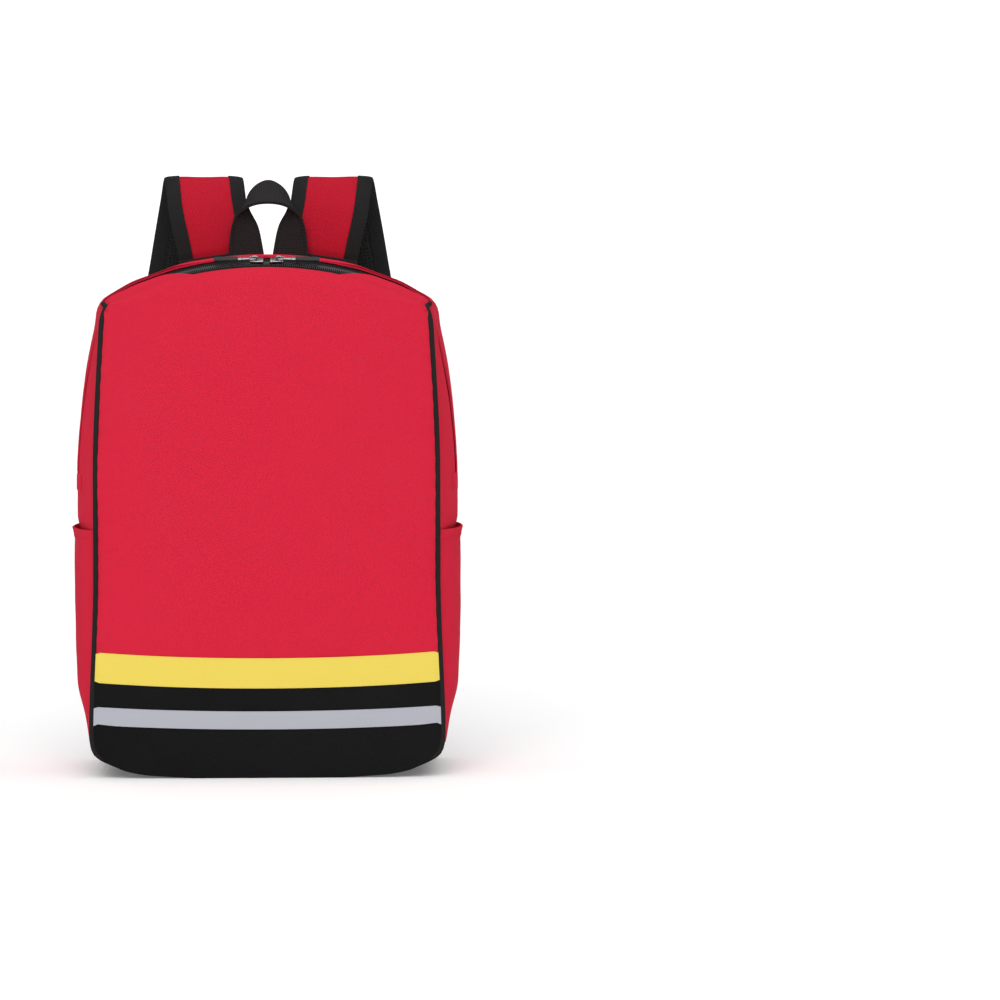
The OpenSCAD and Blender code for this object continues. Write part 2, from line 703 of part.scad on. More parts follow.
strap_mesh(true);  // strap_mesh_left
strap_mesh(false);  // strap_mesh_right
strap_webbing(true);  // strap_webbing_left
strap_webbing(false);  // strap_webbing_right
ladder_lock(true);  // ladder_lock_left
ladder_lock(false);  // ladder_lock_right
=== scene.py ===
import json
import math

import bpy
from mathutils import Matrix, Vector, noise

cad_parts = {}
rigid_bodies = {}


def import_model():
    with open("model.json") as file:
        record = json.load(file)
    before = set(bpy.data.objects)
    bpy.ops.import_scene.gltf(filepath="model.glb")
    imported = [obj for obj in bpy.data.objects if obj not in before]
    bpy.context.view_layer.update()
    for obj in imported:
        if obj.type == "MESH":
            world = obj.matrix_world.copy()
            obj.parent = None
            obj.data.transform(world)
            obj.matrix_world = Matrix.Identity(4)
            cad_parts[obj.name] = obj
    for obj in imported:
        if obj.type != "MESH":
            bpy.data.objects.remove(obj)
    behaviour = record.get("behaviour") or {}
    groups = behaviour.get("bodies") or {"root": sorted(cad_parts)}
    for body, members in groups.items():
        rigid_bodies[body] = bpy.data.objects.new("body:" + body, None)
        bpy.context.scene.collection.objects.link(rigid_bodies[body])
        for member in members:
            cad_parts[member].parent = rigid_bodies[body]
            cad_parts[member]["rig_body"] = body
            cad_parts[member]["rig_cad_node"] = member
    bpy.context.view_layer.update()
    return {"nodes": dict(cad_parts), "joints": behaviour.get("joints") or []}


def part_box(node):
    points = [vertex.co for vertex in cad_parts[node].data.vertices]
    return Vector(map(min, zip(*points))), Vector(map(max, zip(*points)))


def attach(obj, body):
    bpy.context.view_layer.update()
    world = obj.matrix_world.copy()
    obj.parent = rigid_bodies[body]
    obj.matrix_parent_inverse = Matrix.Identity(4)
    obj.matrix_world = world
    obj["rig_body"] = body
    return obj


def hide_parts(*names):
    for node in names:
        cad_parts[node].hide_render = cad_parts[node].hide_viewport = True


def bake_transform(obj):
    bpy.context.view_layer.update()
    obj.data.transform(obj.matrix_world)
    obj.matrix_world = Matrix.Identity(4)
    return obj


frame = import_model()

# %% [markdown]
# # A soft red trauma backpack
# A first responder's daypack is sewn from flat cloth, and it holds its shape with padding,
# piping and stiff tape. This lesson lays each piece of cloth on the same outline that the
# solid part was drawn on, so that neighbours share their seams.

MM = 0.001
for spare in ("Cube", "Light", "Camera"):
    if spare in bpy.data.objects:
        bpy.data.objects.remove(bpy.data.objects[spare])
bpy.context.scene.view_settings.view_transform = "Standard"
JOINTS = {j["name"]: j for j in frame["joints"]}

# %% [markdown]
# ## The outline
# All walls of the bag hang on one closed line: over the arched top, round a corner, down the
# side, round the base. Walking along that line gives a place, and two swell curves push it
# outward. Writing them as functions keeps every seam shared. Sizes here are millimetres.

# %% The walk round the bag
back_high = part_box("back_panel")[1]
HALF_W = back_high.x / MM
PANEL_H = back_high.z / MM
BACK_Y = back_high.y / MM
ARCH_Z = JOINTS["slider_run_right"]["pos_m"][2] / MM
ZIP_Y = JOINTS["slider_run_right"]["pos_m"][1] / MM
HINGE_Y, HINGE_Z = (c / MM for c in JOINTS["flap_fold"]["pos_m"][1:])
ARCH_R = PANEL_H - ARCH_Z
CORNER_R, BASE_R = 14, 28
DEPTH_BASE, DEPTH_TOP = 126, 108
FRONT_SWELL, SIDE_SWELL = 8, 19.5
LIP_RISE, CREST_RISE, ZIP_W = 2, 10, 22
LIP_Y, CREST_Y = ZIP_Y - ZIP_W / 2, ZIP_Y + ZIP_W / 2
POCKET_H = 206
SHOULDER_L = 60
FOOT_SPREAD, SHOULDER_DROP, FACE_NARROW = 0.032, 1.5, 6.5

TURN = math.asin((HALF_W - CORNER_R) / (ARCH_R - CORNER_R))
CORNER_Z = ARCH_Z + (ARCH_R - CORNER_R) * math.cos(TURN)
Q_ARCH = ARCH_R * TURN
Q_CORNER = Q_ARCH + CORNER_R * (math.pi / 2 - TURN)
Q_BASE = Q_CORNER + CORNER_Z - BASE_R
Q_FLOOR = Q_BASE + BASE_R * math.pi / 2
Q_MID = Q_FLOOR + HALF_W - BASE_R
Q_ZIP_END = Q_CORNER + CORNER_Z - HINGE_Z
Q_TURN = (Q_ARCH + Q_CORNER) / 2


def lerp(a, b, t):
    return a + (b - a) * t


def ease(t):
    t = max(0, min(1, t))
    return t * t * (3 - 2 * t)


def walk(a):
    """Place and outward direction, in x and z, at a distance a down one side from the top."""
    if a < Q_ARCH:
        g = a / ARCH_R
        return ARCH_R * math.sin(g), ARCH_Z + ARCH_R * math.cos(g), g
    if a < Q_CORNER:
        g = TURN + (a - Q_ARCH) / CORNER_R
        return HALF_W - CORNER_R + CORNER_R * math.sin(g), CORNER_Z + CORNER_R * math.cos(g), g
    if a < Q_BASE:
        return HALF_W, CORNER_Z - (a - Q_CORNER), math.pi / 2
    if a < Q_FLOOR:
        g = math.pi / 2 + (a - Q_BASE) / BASE_R
        return HALF_W - BASE_R + BASE_R * math.sin(g), BASE_R + BASE_R * math.cos(g), g
    return Q_MID - a, 0, math.pi


def seam_y(z):
    """Front seam, which leans back towards the top."""
    return BACK_Y - lerp(DEPTH_BASE, DEPTH_TOP, max(0, min(1, z / PANEL_H)) ** 1.5)


def share(y, z):
    return 2 * (y - seam_y(z)) / (BACK_Y - seam_y(z)) - 1


def side_bulge(z):
    mid, half = 0.488 * PANEL_H, 0.452 * PANEL_H
    return SIDE_SWELL * max(0, 1 - abs((z - mid) / half) ** 3)


def top_bulge(y):
    if y < LIP_Y:
        return LIP_RISE * ease((y - seam_y(PANEL_H)) / (LIP_Y - seam_y(PANEL_H)))
    if y < CREST_Y:
        return lerp(LIP_RISE, CREST_RISE, (y - LIP_Y) / ZIP_W)
    return CREST_RISE * (1 - ((y - CREST_Y) / (BACK_Y - CREST_Y)) ** 2)


def swell(a, y):
    if a > Q_BASE:
        return 0
    z = walk(a)[1]
    on_side = ease((a - Q_ARCH + 25) / SHOULDER_L)
    return lerp(top_bulge(y), side_bulge(z) * (1 - abs(share(y, z)) ** 2.4), on_side)


def pocket_relief(a, y):
    if a < Q_ZIP_END or a > Q_BASE:
        return 0
    z = walk(a)[1]
    sunk = 5.5 * ease((POCKET_H + 10 - z) / 24) * ease((z - 20) / 40)
    return sunk * (1 - share(y, z) ** 2)


LIFT_STOPS = [(58, 0), (73, 0.8), (97, 2.5), (105, 3.8), (114, 5.9), (121, 7.8), (128, 7.8),
              (134, 5.5), (138, 2.2), (141, -4.5), (150, -6)]


def corner_lift(w):
    """How far the bag's foot stands off its drawn corner, by distance from the middle."""
    for (a, low), (b, high) in zip(LIFT_STOPS, LIFT_STOPS[1:]):
        if w < b:
            return lerp(low, high, max(0, w - a) / (b - a))
    return LIFT_STOPS[-1][1]


def outline_bottom(x):
    w = abs(x)
    if w < HALF_W - BASE_R:
        return 0
    return BASE_R - math.sqrt(max(0, BASE_R**2 - (w - HALF_W + BASE_R) ** 2))


def seat(x, y, z):
    """A loaded bag settles: its foot spreads, its lower corners lift and its shoulders drop.
    The face narrows towards the top, where the sides bulge out past the front seams."""
    narrow = FACE_NARROW * ease((z - 255) / 170) * (1 - ease((y - seam_y(z) - 26) / 50))
    spread = 1 + FOOT_SPREAD * ease((170 - z) / 150) - narrow / HALF_W
    w = abs(x)
    lift = corner_lift(w) * (1 - ease((z - outline_bottom(w)) / 45))
    over_shoulder = ease((w - 72) / 38) * (1 - ease((w - 122) / 22))
    drop = SHOULDER_DROP * over_shoulder * ease((z - 370) / 20)
    return x * spread, y, z + lift - drop


def wrap_point(q, y, depth=0, relieved=False):
    """A place on the strip round the bag, sunk inward by depth."""
    a = abs(q)
    x, z, g = walk(a)
    r = swell(a, y) - depth - (pocket_relief(a, y) if relieved else 0)
    return seat(math.copysign(1, q) * (x + r * math.sin(g)), y, z + r * math.cos(g))


def outline_top(x):
    w = abs(x)
    if w < ARCH_R * math.sin(TURN):
        return ARCH_Z + math.sqrt(ARCH_R**2 - w * w)
    return CORNER_Z + math.sqrt(max(0, CORNER_R**2 - (w - HALF_W + CORNER_R) ** 2))


def face_y(x, z):
    """The swollen front face."""
    low, high = outline_bottom(x), outline_top(x)
    t = (z - low) / (high - low)
    bow = (1 - min(1, abs(x) / HALF_W) ** 3) * (1 - abs(2 * t - 1) ** 5)
    return seam_y(z) - FRONT_SWELL * bow


print("half width", round(HALF_W, 1), "corner at", round(CORNER_Z, 1), "walk", round(Q_MID))

# %% [markdown]
# ## How a piece of cloth is made
# Cut cloth starts flat, so each piece starts as a flat grid. Its corners are then laid on the
# outline, and a Solidify modifier gives it the thickness of padded cloth. The grid keeps a UV
# map called cloth, measured in metres along the piece, so that a weave has its real pitch.


# %% Helpers for cloth
def only(obj):
    bpy.ops.object.select_all(action="DESELECT")
    obj.select_set(True)
    bpy.context.view_layer.objects.active = obj


def apply_modifier(obj, kind, **settings):
    only(obj)
    mod = obj.modifiers.new(kind, kind)
    for key, value in settings.items():
        setattr(mod, key, value)
    bpy.ops.object.modifier_apply(modifier=mod.name)


def smooth(obj, angle=38):
    only(obj)
    bpy.ops.object.shade_smooth_by_angle(angle=math.radians(angle))


def turn_outward(obj):
    only(obj)
    bpy.ops.object.mode_set(mode="EDIT")
    bpy.ops.mesh.select_all(action="SELECT")
    bpy.ops.mesh.normals_make_consistent(inside=False)
    bpy.ops.object.mode_set(mode="OBJECT")


def close_shell(obj):
    """Merges the grid's meeting edges, fills its ends, and turns all faces outward."""
    only(obj)
    bpy.ops.object.mode_set(mode="EDIT")
    bpy.ops.mesh.select_all(action="SELECT")
    bpy.ops.mesh.remove_doubles(threshold=1e-6)
    bpy.ops.mesh.select_all(action="SELECT")
    bpy.ops.mesh.fill_holes(sides=0)
    bpy.ops.object.mode_set(mode="OBJECT")
    turn_outward(obj)


def measure_uv(mesh):
    """A UV map in metres, from the places of the corners, for a piece that is not a grid."""
    uv = mesh.uv_layers.new(name="cloth").data
    for loop in mesh.loops:
        p = mesh.vertices[loop.vertex_index].co
        uv[loop.index].uv = (p.x + p.y, p.z)


def drawn_piece(name, corners, faces, angle, measured=False):
    """A piece given corner by corner, for rows of small parts that repeat."""
    mesh = bpy.data.meshes.new(name)
    mesh.from_pydata(corners, [], faces)
    if measured:
        measure_uv(mesh)
    obj = bpy.data.objects.new(name, mesh)
    bpy.context.scene.collection.objects.link(obj)
    turn_outward(obj)
    smooth(obj, angle)
    return obj


def join_parts(name, parts):
    bpy.ops.object.select_all(action="DESELECT")
    for part in parts:
        part.select_set(True)
    bpy.context.view_layer.objects.active = parts[0]
    bpy.ops.object.join()
    obj = bpy.context.object
    obj.name = obj.data.name = name
    return obj


def run_lengths(points):
    total, out = 0, [0]
    for a, b in zip(points, points[1:]):
        total += (b - a).length
        out.append(total)
    return out


def lay_cloth(name, cells, place, thick=0.0, closed=False):
    """A flat grid laid on a surface: place(u, v) gives millimetres for u and v from 0 to 1."""
    across, along = cells
    bpy.ops.object.select_all(action="DESELECT")
    bpy.ops.mesh.primitive_grid_add(x_subdivisions=across, y_subdivisions=along, size=1)
    cloth = bpy.context.object
    cloth.name = cloth.data.name = name
    mesh = cloth.data
    flat = [(v.co.x + 0.5, v.co.y + 0.5) for v in mesh.vertices]
    for v, (a, b) in zip(mesh.vertices, flat):
        v.co = Vector(place(a, b)) * MM
    wide = run_lengths([Vector(place(i / across, 0.5)) * MM for i in range(across + 1)])
    long = run_lengths([Vector(place(0.5, i / along)) * MM for i in range(along + 1)])
    mesh.uv_layers.active.name = "cloth"
    uv = mesh.uv_layers["cloth"].data
    for loop in mesh.loops:
        a, b = flat[loop.vertex_index]
        uv[loop.index].uv = (wide[round(a * across)], long[round(b * along)])
    if closed:
        close_shell(cloth)
    if thick:
        apply_modifier(cloth, "SOLIDIFY", thickness=thick * MM, offset=-1)
    smooth(cloth)
    return cloth


def lay_tube(name, path, radius, sides=12, flat_on=None):
    """A round cord along a list of places in millimetres. flat_on squeezes it to an oval."""
    path = [Vector(p) for p in path]
    frames = []
    side = None
    for i, p in enumerate(path):
        d = (path[min(i + 1, len(path) - 1)] - path[max(i - 1, 0)]).normalized()
        if side is None:
            side = d.cross(Vector((0, 0, 1)) if abs(d.z) < 0.9 else Vector((0, 1, 0)))
        side = (side - d * side.dot(d)).normalized()
        frames.append((p, side, d.cross(side)))
    last = len(path) - 1

    def place(u, v):
        p, s, t = frames[round(v * last)]
        turn = 2 * math.pi * u
        return p + s * radius * math.cos(turn) + t * (flat_on or radius) * math.sin(turn)

    return lay_cloth(name, (sides, last), place, closed=True)


SIDES = (("left", -1), ("right", 1))


def dress(obj, material, body, *nodes, slot=None):
    """Gives a finished piece its material and its body, and hides the CAD nodes it stands for.
    The slot argument is not used."""
    obj.data.materials.clear()
    obj.data.materials.append(material)
    if body == "fold":
        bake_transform(obj)
    elif body:
        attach(obj, body)
    if nodes:
        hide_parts(*nodes)
    return obj


def sew(name, cells, place, thick, material, body, *nodes, closed=False, slot=None):
    """Lays a piece of cloth and dresses it."""
    return dress(lay_cloth(name, cells, place, thick, closed), material, body, *nodes, slot=slot)


def ripple(x, y, z, size, height):
    """A gentle, repeatable unevenness, as stuffed and handled cloth has."""
    return height * noise.noise(Vector((x, y, z)) / size)


print("cloth helpers ready")

# %% [markdown]
# ## Weave, rib and bead
# Cloth is threads. A weave is one thread over and one under, which two crossed sine waves
# copy well. Webbing is ribbed across its length. These effects are shader groups, built once
# and then placed in each material with its own pitch. They put out a height and a shade. The
# shade is painted shade, darker where the height is low, in thread hollows, rib grooves and
# mesh holes; weave and rib mix it with a random thread tone.


# %% Shader groups
def shader_group(name, inputs, outputs):
    group = bpy.data.node_groups.new(name, "ShaderNodeTree")
    for label, kind, value in inputs:
        socket = group.interface.new_socket(label, in_out="INPUT", socket_type=kind)
        if value is not None:
            socket.default_value = value
    for label in outputs:
        group.interface.new_socket(label, in_out="OUTPUT", socket_type="NodeSocketFloat")
    return group, group.nodes.new("NodeGroupInput"), group.nodes.new("NodeGroupOutput")


def math_node(tree, action, a, b=None, c=None):
    node = tree.nodes.new("ShaderNodeMath")
    node.operation = action
    for socket, value in zip(node.inputs, (a, b, c)):
        if value is None:
            continue
        if isinstance(value, (int, float)):
            socket.default_value = value
        else:
            tree.links.new(value, socket)
    return node.outputs[0]


def noise_node(tree, vector, scale, detail=3.0, rough=0.5):
    node = tree.nodes.new("ShaderNodeTexNoise")
    node.inputs["Scale"].default_value = scale
    node.inputs["Detail"].default_value = detail
    node.inputs["Roughness"].default_value = rough
    tree.links.new(vector, node.inputs["Vector"])
    return node.outputs[0]


def build_weave():
    """One thread over, one under, both ways. Threads is the number in a metre."""
    tree, into, out = shader_group(
        "weave",
        [("Place", "NodeSocketVector", None), ("Threads", "NodeSocketFloat", 900.0)],
        ["Height", "Shade"],
    )
    turns = math_node(tree, "MULTIPLY", into.outputs["Threads"], math.pi)
    scaled = tree.nodes.new("ShaderNodeVectorMath")
    scaled.operation = "SCALE"
    tree.links.new(into.outputs["Place"], scaled.inputs[0])
    tree.links.new(turns, scaled.inputs["Scale"])
    split = tree.nodes.new("ShaderNodeSeparateXYZ")
    tree.links.new(scaled.outputs[0], split.inputs[0])
    warp = math_node(tree, "SINE", split.outputs["X"])
    weft = math_node(tree, "SINE", split.outputs["Y"])
    crossing = math_node(tree, "MULTIPLY", warp, weft)
    height = math_node(tree, "MULTIPLY_ADD", crossing, 0.5, 0.5)
    fuzz = noise_node(tree, into.outputs["Place"], 1400.0, 2.0)
    # Half of the shade is painted shade, darker where the threads dip, and half a random tone.
    shade = math_node(tree, "MULTIPLY_ADD", height, 0.5, math_node(tree, "MULTIPLY", fuzz, 0.5))
    tree.links.new(height, out.inputs["Height"])
    tree.links.new(shade, out.inputs["Shade"])
    return tree


def build_rib():
    """Ribs across a tape, whose length runs along the second UV direction."""
    tree, into, out = shader_group(
        "rib",
        [
            ("Place", "NodeSocketVector", None),
            ("Ribs", "NodeSocketFloat", 700.0),
            ("Columns", "NodeSocketFloat", 400.0),
        ],
        ["Height", "Shade"],
    )
    split = tree.nodes.new("ShaderNodeSeparateXYZ")
    tree.links.new(into.outputs["Place"], split.inputs[0])
    along = math_node(tree, "MULTIPLY", split.outputs["Y"], into.outputs["Ribs"])
    across = math_node(tree, "MULTIPLY", split.outputs["X"], into.outputs["Columns"])
    rib = math_node(tree, "ABSOLUTE", math_node(tree, "SINE", math_node(
        tree, "MULTIPLY", along, math.pi)))
    column = math_node(tree, "ABSOLUTE", math_node(tree, "SINE", math_node(
        tree, "MULTIPLY", across, math.pi)))
    height = math_node(tree, "MULTIPLY", rib, math_node(tree, "MULTIPLY_ADD", column, 0.4, 0.6))
    fuzz = noise_node(tree, into.outputs["Place"], 900.0, 2.0)
    # The shade is painted shade in the grooves between ribs, mixed with a random thread tone.
    shade = math_node(tree, "MULTIPLY_ADD", height, 0.6, math_node(tree, "MULTIPLY", fuzz, 0.4))
    tree.links.new(height, out.inputs["Height"])
    tree.links.new(shade, out.inputs["Shade"])
    return tree


def build_mesh_holes():
    """A knitted spacer mesh: small round holes in a staggered net."""
    tree, into, out = shader_group(
        "mesh_holes",
        [("Place", "NodeSocketVector", None), ("Holes", "NodeSocketFloat", 300.0)],
        ["Height", "Shade"],
    )
    cells = tree.nodes.new("ShaderNodeTexVoronoi")
    cells.inputs["Randomness"].default_value = 0.25
    tree.links.new(into.outputs["Place"], cells.inputs["Vector"])
    tree.links.new(into.outputs["Holes"], cells.inputs["Scale"])
    edge = math_node(tree, "MULTIPLY", cells.outputs["Distance"], 1.9)
    height = math_node(tree, "SMOOTH_MIN", edge, 0.9, 0.2)
    tree.links.new(height, out.inputs["Height"])
    # The shade is painted shade: the holes, being deeper, are coloured darker.
    tree.links.new(math_node(tree, "POWER", height, 1.5), out.inputs["Shade"])
    return tree


def build_handling():
    """Slow unevenness of dye, dust and folds over a whole piece."""
    tree, into, out = shader_group(
        "handling", [("Place", "NodeSocketVector", None)], ["Cloud", "Crease"]
    )
    tree.links.new(noise_node(tree, into.outputs["Place"], 9.0, 4.0, 0.55), out.inputs["Cloud"])
    tree.links.new(noise_node(tree, into.outputs["Place"], 28.0, 3.0, 0.6), out.inputs["Crease"])
    return tree


WEAVE, RIB = build_weave(), build_rib()
MESH_HOLES, HANDLING = build_mesh_holes(), build_handling()
print("shader groups:", [g.name for g in bpy.data.node_groups])

# %% [markdown]
# ## The materials
# Every finish is a Principled BSDF. The groups tint its colour, vary its roughness and raise
# its surface. Cloth reads the UV map that was measured in metres, and moulded or cast pieces
# read Object coordinates. Metal and IOR are constant, so they sit on the shader itself.


# %% Material builders
def new_material(name):
    material = bpy.data.materials.new(name)
    material.use_nodes = True
    return material, material.node_tree, material.node_tree.nodes["Principled BSDF"]


def place_group(tree, group, vector, **values):
    node = tree.nodes.new("ShaderNodeGroup")
    node.node_tree = group
    tree.links.new(vector, node.inputs["Place"])
    for label, value in values.items():
        node.inputs[label].default_value = value
    return node


def tint(tree, factor, dark, light):
    mix = tree.nodes.new("ShaderNodeMix")
    mix.data_type = "RGBA"
    tree.links.new(factor, mix.inputs["Factor"])
    colour_inputs = [s for s in mix.inputs if s.type == "RGBA"]
    for socket, colour in zip(colour_inputs, (dark, light)):
        if isinstance(colour, tuple):
            socket.default_value = (*colour, 1)
        else:
            tree.links.new(colour, socket)
    return [s for s in mix.outputs if s.type == "RGBA"][0]


def raise_surface(tree, shader, heights):
    """Chains one Bump node for each (height, distance in mm, strength)."""
    normal = None
    for height, distance, strength in heights:
        bump = tree.nodes.new("ShaderNodeBump")
        bump.inputs["Distance"].default_value = distance * MM
        bump.inputs["Strength"].default_value = strength
        tree.links.new(height, bump.inputs["Height"])
        if normal:
            tree.links.new(normal, bump.inputs["Normal"])
        normal = bump.outputs["Normal"]
    tree.links.new(normal, shader.inputs["Normal"])


def fabric(name, colour, group, pitch, contrast, relief, rough, metal=0.0, ior=1.15, **extra):
    """Woven, ribbed or knitted cloth, with painted shade in its thread hollows and the piece
    clouded.
    """
    material, tree, shader = new_material(name)
    uv = tree.nodes.new("ShaderNodeUVMap")
    uv.uv_map = "cloth"
    room = tree.nodes.new("ShaderNodeTexCoord")
    first = {"weave": "Threads", "rib": "Ribs", "mesh_holes": "Holes"}[group.name]
    threads = place_group(tree, group, uv.outputs["UV"], **{first: pitch}, **extra)
    cloud = place_group(tree, HANDLING, room.outputs["Object"])
    dark = tuple(c * (1 - contrast) for c in colour)
    light = tuple(min(1, c * (1 + contrast * 0.6)) for c in colour)
    # Painted shade: the thread shade darkens the colour in the hollows, with a random thread tone.
    thread_shaded = tint(tree, threads.outputs["Shade"], dark, light)
    dusty = tuple(min(1, lerp(c, 0.5, 0.03) * 0.9) for c in colour)
    patch = math_node(tree, "MULTIPLY_ADD", cloud.outputs["Cloud"], 0.5, -0.12)
    tree.links.new(tint(tree, patch, thread_shaded, dusty), shader.inputs["Base Color"])
    worn = math_node(tree, "MULTIPLY_ADD", cloud.outputs["Crease"], 0.16, rough - 0.08)
    tree.links.new(worn, shader.inputs["Roughness"])
    shader.inputs["Metallic"].default_value = metal
    shader.inputs["IOR"].default_value = ior
    raise_surface(tree, shader, [
        (threads.outputs["Height"], relief, 0.6),
        (cloud.outputs["Crease"], 1.2, 0.12),
    ])
    return material


def moulded(name, colour, rough, metal=0.0, grain=900.0, relief=0.05):
    """Rubber, nylon, board, foam or plated metal, grained on Object coordinates."""
    material, tree, shader = new_material(name)
    room = tree.nodes.new("ShaderNodeTexCoord")
    speck = noise_node(tree, room.outputs["Object"], grain, 4.0, 0.6)
    dark = tuple(c * 0.8 for c in colour)
    tree.links.new(tint(tree, speck, dark, colour), shader.inputs["Base Color"])
    cloud = place_group(tree, HANDLING, room.outputs["Object"])
    worn = math_node(tree, "MULTIPLY_ADD", cloud.outputs["Crease"], 0.2, rough - 0.1)
    tree.links.new(worn, shader.inputs["Roughness"])
    shader.inputs["Metallic"].default_value = metal
    raise_surface(tree, shader, [(speck, relief, 0.5)])
    return material


# %% The finishes of this bag
RED = fabric("red_cloth", (0.66, 0.018, 0.048), WEAVE, 1000.0, 0.30, 0.30, 0.82)
# The straps use the red cloth darkened: painted shade for straps that get less light than the
# front.
SHADED_STRAP_RED = fabric("strap_red_cloth", (0.50, 0.010, 0.028), WEAVE, 1000.0, 0.30, 0.30, 0.85)
BLACK = fabric("black_cloth", (0.0075, 0.0075, 0.0078), WEAVE, 1000.0, 0.35, 0.3, 0.85)
YELLOW = fabric("yellow_tape", (0.82, 0.65, 0.11), RIB, 900.0, 0.07, 0.2, 0.7, Columns=700.0)
YELLOW_THREAD = fabric("yellow_thread", (0.90, 0.76, 0.24), RIB, 3000.0, 0.1, 0.1, 0.7)
SILVER = fabric("silver_tape", (0.43, 0.445, 0.50), WEAVE, 1500.0, 0.10, 0.05, 0.45, 0.12, 1.35)
SILVER_THREAD = fabric("silver_thread", (0.66, 0.68, 0.72), RIB, 3000.0, 0.1, 0.1, 0.6)
BLACK_MESH = fabric("black_mesh", (0.020, 0.020, 0.021), MESH_HOLES, 330.0, 0.6, 0.9, 0.85)
WEBBING = fabric("black_webbing", (0.024, 0.022, 0.022), RIB, 620.0, 0.45, 0.5, 0.7,
                 Columns=330.0)
BINDING = fabric("black_binding", (0.017, 0.017, 0.017), RIB, 900.0, 0.4, 0.3, 0.75,
                 Columns=500.0)
LINING = fabric("grey_lining", (0.11, 0.11, 0.12), WEAVE, 2200.0, 0.15, 0.1, 0.6)
ZIP_TAPE = fabric("zip_tape", (0.014, 0.014, 0.015), WEAVE, 1500.0, 0.4, 0.2, 0.8)
RED_THREAD = fabric("red_thread", (0.50, 0.012, 0.035), RIB, 3000.0, 0.3, 0.1, 0.7)
TEETH = moulded("zip_teeth", (0.03, 0.03, 0.031), 0.38)
METAL = moulded("zip_metal", (0.45, 0.45, 0.46), 0.27, 1.0, 260.0, 0.02)
RUBBER = moulded("tab_rubber", (0.016, 0.016, 0.016), 0.62)
PLASTIC = moulded("black_plastic", (0.02, 0.02, 0.02), 0.42)
FOAM = moulded("foam", (0.8, 0.8, 0.78), 0.95, 0.0, 1800.0, 0.4)
BOARD = moulded("board", (0.2, 0.19, 0.17), 0.9, 0.0, 1200.0, 0.2)
print("materials:", len(bpy.data.materials))

# %% [markdown]
# ## Stitches
# A seam shows as a row of short raised threads. One stitch is a small six-pointed lozenge, and
# a row repeats it along a path, turned to follow the cloth. Few faces each keeps rows light.


# %% A row of stitches
def stitch_rows(name, rows, pitch=3.4, length=2.5, width=0.6, rise=0.4):
    """rows is a list of (points in mm, outward direction at each point)."""
    corners, faces = [], []
    for points, outs in rows:
        points = [Vector(p) for p in points]
        lengths = run_lengths(points)
        count = int(lengths[-1] / pitch)
        k = 0
        for i in range(count):
            want = (i + 0.5) * lengths[-1] / count
            while k < len(points) - 2 and lengths[k + 1] < want:
                k += 1
            t = (want - lengths[k]) / max(1e-6, lengths[k + 1] - lengths[k])
            middle = points[k].lerp(points[k + 1], t)
            along = (points[k + 1] - points[k]).normalized() * length / 2
            up = Vector(outs[k]).lerp(Vector(outs[k + 1]), t).normalized()
            aside = along.cross(up).normalized() * width / 2
            base = len(corners)
            for corner in (-along, aside, along, -aside, up * rise, up * -0.3):
                corners.append((middle + corner) * MM)
            for a, b in ((0, 1), (1, 2), (2, 3), (3, 0)):
                faces.append((base + b, base + a, base + 4))
                faces.append((base + a, base + b, base + 5))
    return drawn_piece(name, corners, faces, 60, measured=True)


# %% [markdown]
# ## The red front
# The front is one piece of cloth that runs from the black base, up the face, over the top edge
# and back to the zip. It is laid as one grid, with a soft fold along the top edge.

# %% Front sheet
BASE_SEAM = 87
SHUT_FROM, SHUT_OVER = 55, 42
LIP_SLACK = 2.2
TURN_X = walk(Q_TURN)[0]
GAP_OPEN, GAP_SHUT, GAP_SIDE = ZIP_W / 2, 1.0, 5.0


def zip_gap(q):
    """Half of the open width between the two lips: they close together over the shoulders."""
    a = abs(q)
    shut = ease((a - SHUT_FROM) / SHUT_OVER)
    side = ease((a - 150) / 30)
    return lerp(lerp(GAP_OPEN, GAP_SHUT, shut), GAP_SIDE, side)


def shoulder_shut(q):
    """Where the two lips meet: 0 in the middle and on the sides, 1 over the shoulders."""
    return ease((abs(q) - 60) / 35) * (1 - ease((abs(q) - 145) / 30))


def over_teeth(y, q):
    """How far a lip lifts where it lies over the zip tape and its teeth."""
    past = max(0, ZIP_W / 2 - abs(y - ZIP_Y))
    return (0.9 + 1.2 * shoulder_shut(q) * (y < ZIP_Y)) * ease(past / 4)


def walk_at(x):
    w = abs(x)
    if w < ARCH_R * math.sin(TURN):
        a = ARCH_R * math.asin(w / ARCH_R)
    else:
        a = Q_ARCH + CORNER_R * (math.asin(min(1, (w - HALF_W + CORNER_R) / CORNER_R)) - TURN)
    return math.copysign(a, x)


def face_half(z):
    if z <= CORNER_Z:
        return HALF_W
    return HALF_W - CORNER_R + math.sqrt(max(0, CORNER_R**2 - (z - CORNER_Z) ** 2))


FACE_SHARE = 0.86
FACE_INSET = 0.3


